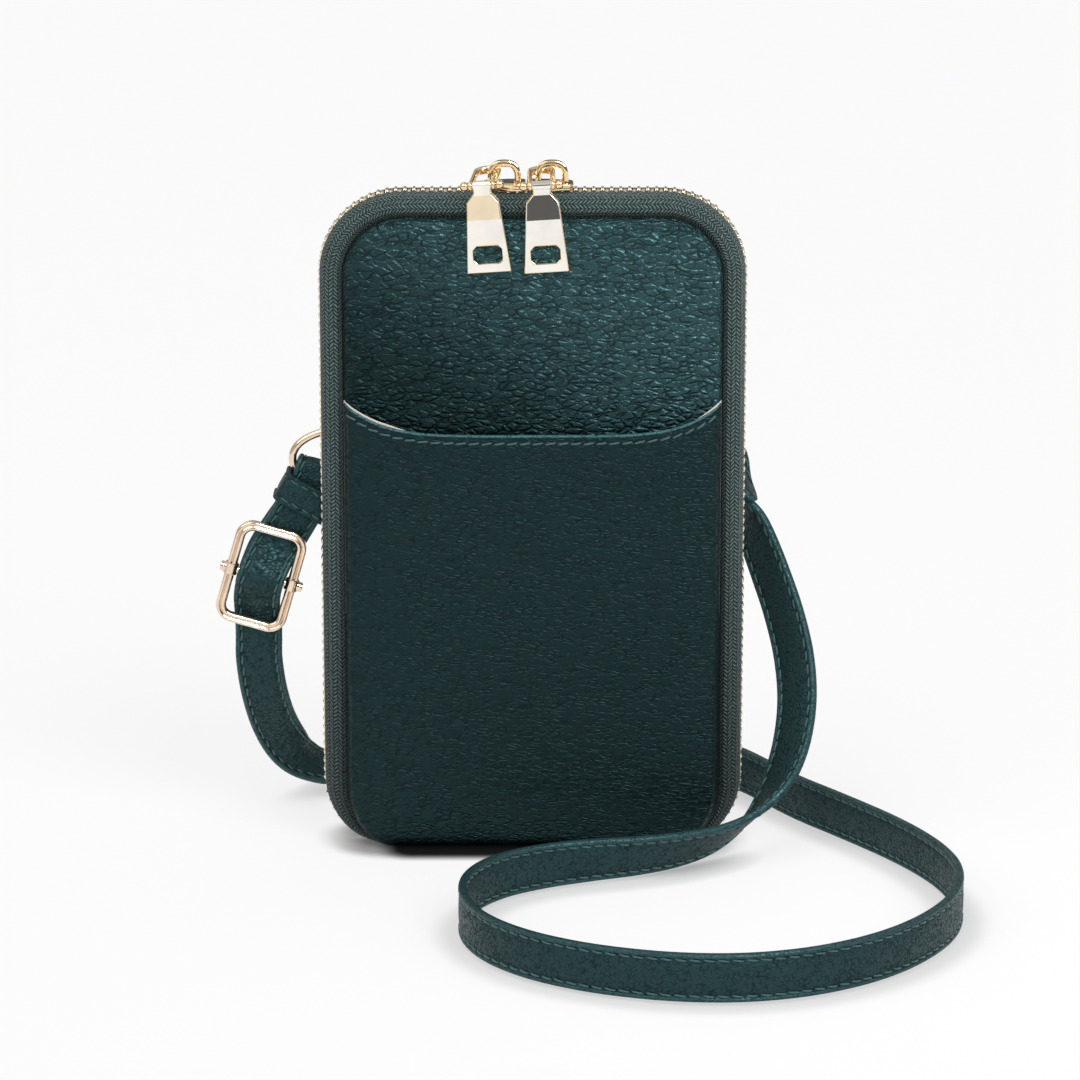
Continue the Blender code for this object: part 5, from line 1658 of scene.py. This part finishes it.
def pull_piece(side, look):
    """The pull: a tapered plate with a slot, and a slanted facet under its shoulders."""
    right = [(PULL_FOOT, -PULL_LENGTH), (PULL_SHOULDER, -PULL_SHOULDER_DROP),
             (PULL_NECK, -PULL_NECK_DROP), (PULL_NECK, 0)]
    left = [(-x, z) for x, z in reversed(right)]
    outer = [left[-1], *right, *left[:-1]]
    middle = PULL_SLOT_FROM_FOOT - PULL_LENGTH
    inner = rounded_box(PULL_SLOT_HALF_WIDTH, middle - PULL_SLOT_HALF_HEIGHT,
                        middle + PULL_SLOT_HALF_HEIGHT, MM, MM, 1)
    body = plate("plate", outer, inner, PULL_THICKNESS / 2, PULL_EDGE,
                 look["polished"], look["gold"])
    body.data.transform(Matrix.Rotation(math.pi / 2, 4, "X"))
    profile = tube_profile(-PULL_NECK, PULL_NECK, BARREL_HOLE, BARREL_RADIUS, *BARREL_CHAMFER)
    barrel = turned("barrel", profile, look["polished"], 40)
    name = "pull_" + side
    made = joined(name + "_plate", [body, barrel, facet_wedge(look)])
    made.data.transform(pin_frame(side))
    made.data.shade_smooth()
    dress(sharp(made, 12), name, name)


def ring_piece(side, look):
    """A D-ring bent from round wire."""
    half_bar = RING_HALF_HEIGHT - RING_CORNER
    upper = line((0, 0), (0, half_bar), 6)
    upper += arc((RING_CORNER, half_bar), RING_CORNER, 180, 90, 6)
    for x, z in arc((0, 0), 1, 90, 0, 20)[1:]:
        upper.append((RING_CORNER + (RING_REACH - RING_CORNER) * x, RING_HALF_HEIGHT * z))
    outline = [(0, 0)] + upper + [(x, -z) for x, z in reversed(upper[:-1])]
    places = [Vector((SIDES[side] * x, 0, z)) for x, z in outline]
    name = "d_ring_" + side
    section = oval(RING_WIRE, RING_WIRE)
    made = swept(name + "_wire", places, Y_AXIS, section, look["rose"], closed=True)
    centre = Vector((SIDES[side] * RING_BAR_X, RING_BAR_Y, RING_HEIGHT))
    made.data.transform(Matrix.Translation(centre) @ Matrix.Rotation(RING_TURNS[side], 4, "Z"))
    dress(made, "ring_" + side, name)


def tab_piece(side, look):
    """The folded leather tab that holds a ring, with its stitches."""
    sign = SIDES[side]
    fold = RING_WIRE + RING_GAP + TAB_LEATHER / 2
    inner_y = TAB_LEATHER * 1.15 - fold
    flat = [(-TAB_TAIL, -fold)] + [(x, -fold) for x, _ in line((-TAB_TAIL, 0), (0, 0), 6)]
    flat += arc((0, 0), fold, -90, 130, 16)
    flat += [TAB_NIP, *((x, inner_y) for x in TAB_INNER_POINTS), (-TAB_TAIL, inner_y)]
    places = [Vector((sign * x, y, 0)) for x, y in flat]
    half, thick = TAB_HALF_HEIGHT, TAB_LEATHER / 2
    section = [(a * half, b * thick) for a, b in
               [(1, 0.3), (0.97, 0.85), (0.9, 1), (0.5, 0.95), (0, 1), (-0.5, 0.95), (-0.9, 1),
                (-0.97, 0.85), (-1, 0.3), (-1, -0.3), (-0.97, -0.85), (-0.9, -1), (0, -1),
                (0.9, -1), (0.97, -0.85), (1, -0.3)]]
    name = "ring_tab_" + side
    body = swept(name + "_leather", places, Z_AXIS, section, look["strap"])
    centre = Vector((sign * RING_BAR_X, RING_BAR_Y, RING_HEIGHT + TAB_LIFT))
    body.data.transform(Matrix.Translation(centre))
    seats = [(TAB_STITCH_START + TAB_STITCH_PITCH * i, z, X_AXIS)
             for i in range(3) for z in (-0.72, 0.72)]
    seats += [(TAB_END_STITCHES, z, Z_AXIS) for z in (-0.35, 0.0, 0.35)]
    seats = [(centre + Vector((-sign * x, inner_y + thick, z * half)), along, Y_AXIS)
             for x, z, along in seats]
    thread = stitches(name + "_stitches", seats, look["thread"], TAB_STITCH_HALF_LENGTH)
    dress(body, "back_half", name)
    dress(thread, "back_half")


def keeper_piece(look):
    """The keeper: a leather loop round both layers of the strap, stitched at its edges."""
    outline = rounded_box(STRAP_WIDTH / 2 + KEEPER_ROOM, -KEEPER_HALF_DEPTH, KEEPER_HALF_DEPTH,
                          KEEPER_CORNER, KEEPER_CORNER, 5, 4)
    places = [Vector((x, y, 0)) for x, y in outline]
    half, thick = KEEPER_HEIGHT / 2, KEEPER_HALF_THICKNESS
    from_edge = [(0.0, 0.3), (0.1, 1.0), (0.4, 1.5), (0.9, 1.5), (1.35, 0.6), (1.7, 0.9),
                 (2.4, 1.1), (half / MM, 1.15)]
    section = both_sides([(half - a * MM, b * thick) for a, b in from_edge])
    section += [(-half, -thick), (half, -thick)]
    body = swept("keeper_leather", places, Z_AXIS, section, look["strap"], closed=True)
    place = Matrix.Translation(KEEPER_CENTRE) @ Matrix.Rotation(KEEPER_TILT, 4, "Y")
    body.data.transform(place)
    turn = place.to_3x3()
    seats = []
    for sign in (1, -1):
        for height in (half - KEEPER_STITCH_INSET, KEEPER_STITCH_INSET - half):
            for i in range(4):
                seat = Vector((KEEPER_STITCH_START + KEEPER_STITCH_PITCH * i,
                               sign * (KEEPER_HALF_DEPTH + KEEPER_STITCH_PROUD), height))
                seats.append((place @ seat, turn @ X_AXIS, turn @ Y_AXIS * sign))
    thread = stitches("keeper_stitches", seats, look["thread"], *KEEPER_STITCH)
    dress(body, "ring_left", "strap_keeper")
    dress(thread, "ring_left")


def buckle_pieces(look):
    """The slide buckle: its frame, and its bar with a collar round each side rail."""
    place = Matrix.Translation(BUCKLE_CENTRE) @ Matrix.Rotation(BUCKLE_TILT, 4, "Y")
    outline = rounded_box(BUCKLE_HALF_WIDTH, -BUCKLE_HALF_HEIGHT, BUCKLE_HALF_HEIGHT,
                          BUCKLE_CORNER, BUCKLE_CORNER, 10, 4)
    places = [Vector((x, 0, z)) for x, z in outline]
    section = [(a * BUCKLE_WIRE, b * BUCKLE_WIRE) for a, b in
               [(1, 0), (0.93, 0.4), (0.66, 0.74), (0.1, 0.93), (-0.5, 0.9), (-0.88, 0.66),
                (-1, 0.4), (-0.88, 0.1), (-0.6, -0.08), (-0.6, -0.16), (-0.86, -0.3),
                (-0.97, -0.52), (-0.8, -0.84), (-0.4, -0.93), (0.25, -0.92), (0.66, -0.74),
                (0.93, -0.4)]]
    frame = swept("buckle_frame_wire", places, Y_AXIS, section, look["rose"], closed=True)
    frame.data.transform(place)
    dress(frame, "ring_left", "buckle_frame")
    neck, end = BUCKLE_HALF_WIDTH + BAR_NECK, BUCKLE_HALF_WIDTH + BAR_END
    half = [(0.0, BAR_RADIUS), (neck, BAR_RADIUS), (neck, BAR_END_RADIUS),
            (end - BAR_CHAMFER, BAR_END_RADIUS), (end, BAR_END_RADIUS - BAR_CHAMFER), (end, 0.0)]
    pieces = [turned("shaft", mirrored_profile(half), look["rose"])]
    profile = tube_profile(-COLLAR_HALF_LENGTH, COLLAR_HALF_LENGTH, COLLAR_HOLE, COLLAR_RADIUS,
                           COLLAR_CHAMFER, COLLAR_CHAMFER)
    for sign in (-1, 1):
        collar = turned("collar", profile, look["rose"])
        collar.data.transform(Matrix.Translation((sign * BUCKLE_HALF_WIDTH, 0, 0))
                              @ Matrix.Rotation(math.pi / 2, 4, "Y"))
        pieces.append(collar)
    bar = joined("buckle_bar_turned", pieces)
    bar.data.transform(place)
    dress(sharp(bar, 40), "buckle_bar", "buckle_bar")
    return [frame, bar]


def carried_over(frame, look):
    """CAD nodes whose shape is right get a finish of their own."""
    for name, key in (("front_stiffener", "board"), ("back_stiffener", "board"),
                      ("zip_stop_left", "gold"), ("zip_stop_right", "gold")):
        mesh = frame["nodes"][name].data
        mesh.materials.clear()
        mesh.materials.append(look[key])


def main():
    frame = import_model()
    for old in ("Cube", "Light", "Camera"):
        if old in bpy.data.objects:
            bpy.data.objects.remove(bpy.data.objects[old], do_unlink=True)
    camera()
    look = materials()
    piece, places, length, others = cords(look)
    lit_studio()
    case_pieces(look)
    inside_pieces(look)
    base_piece(look)
    for side in SIDES:
        slider(side, look)
        link_piece(side, look)
        pin_piece(side, look)
        pull_piece(side, look)
        ring_piece(side, look)
        tab_piece(side, look)
    keeper_piece(look)
    buckle = buckle_pieces(look)
    carried_over(frame, look)


main()
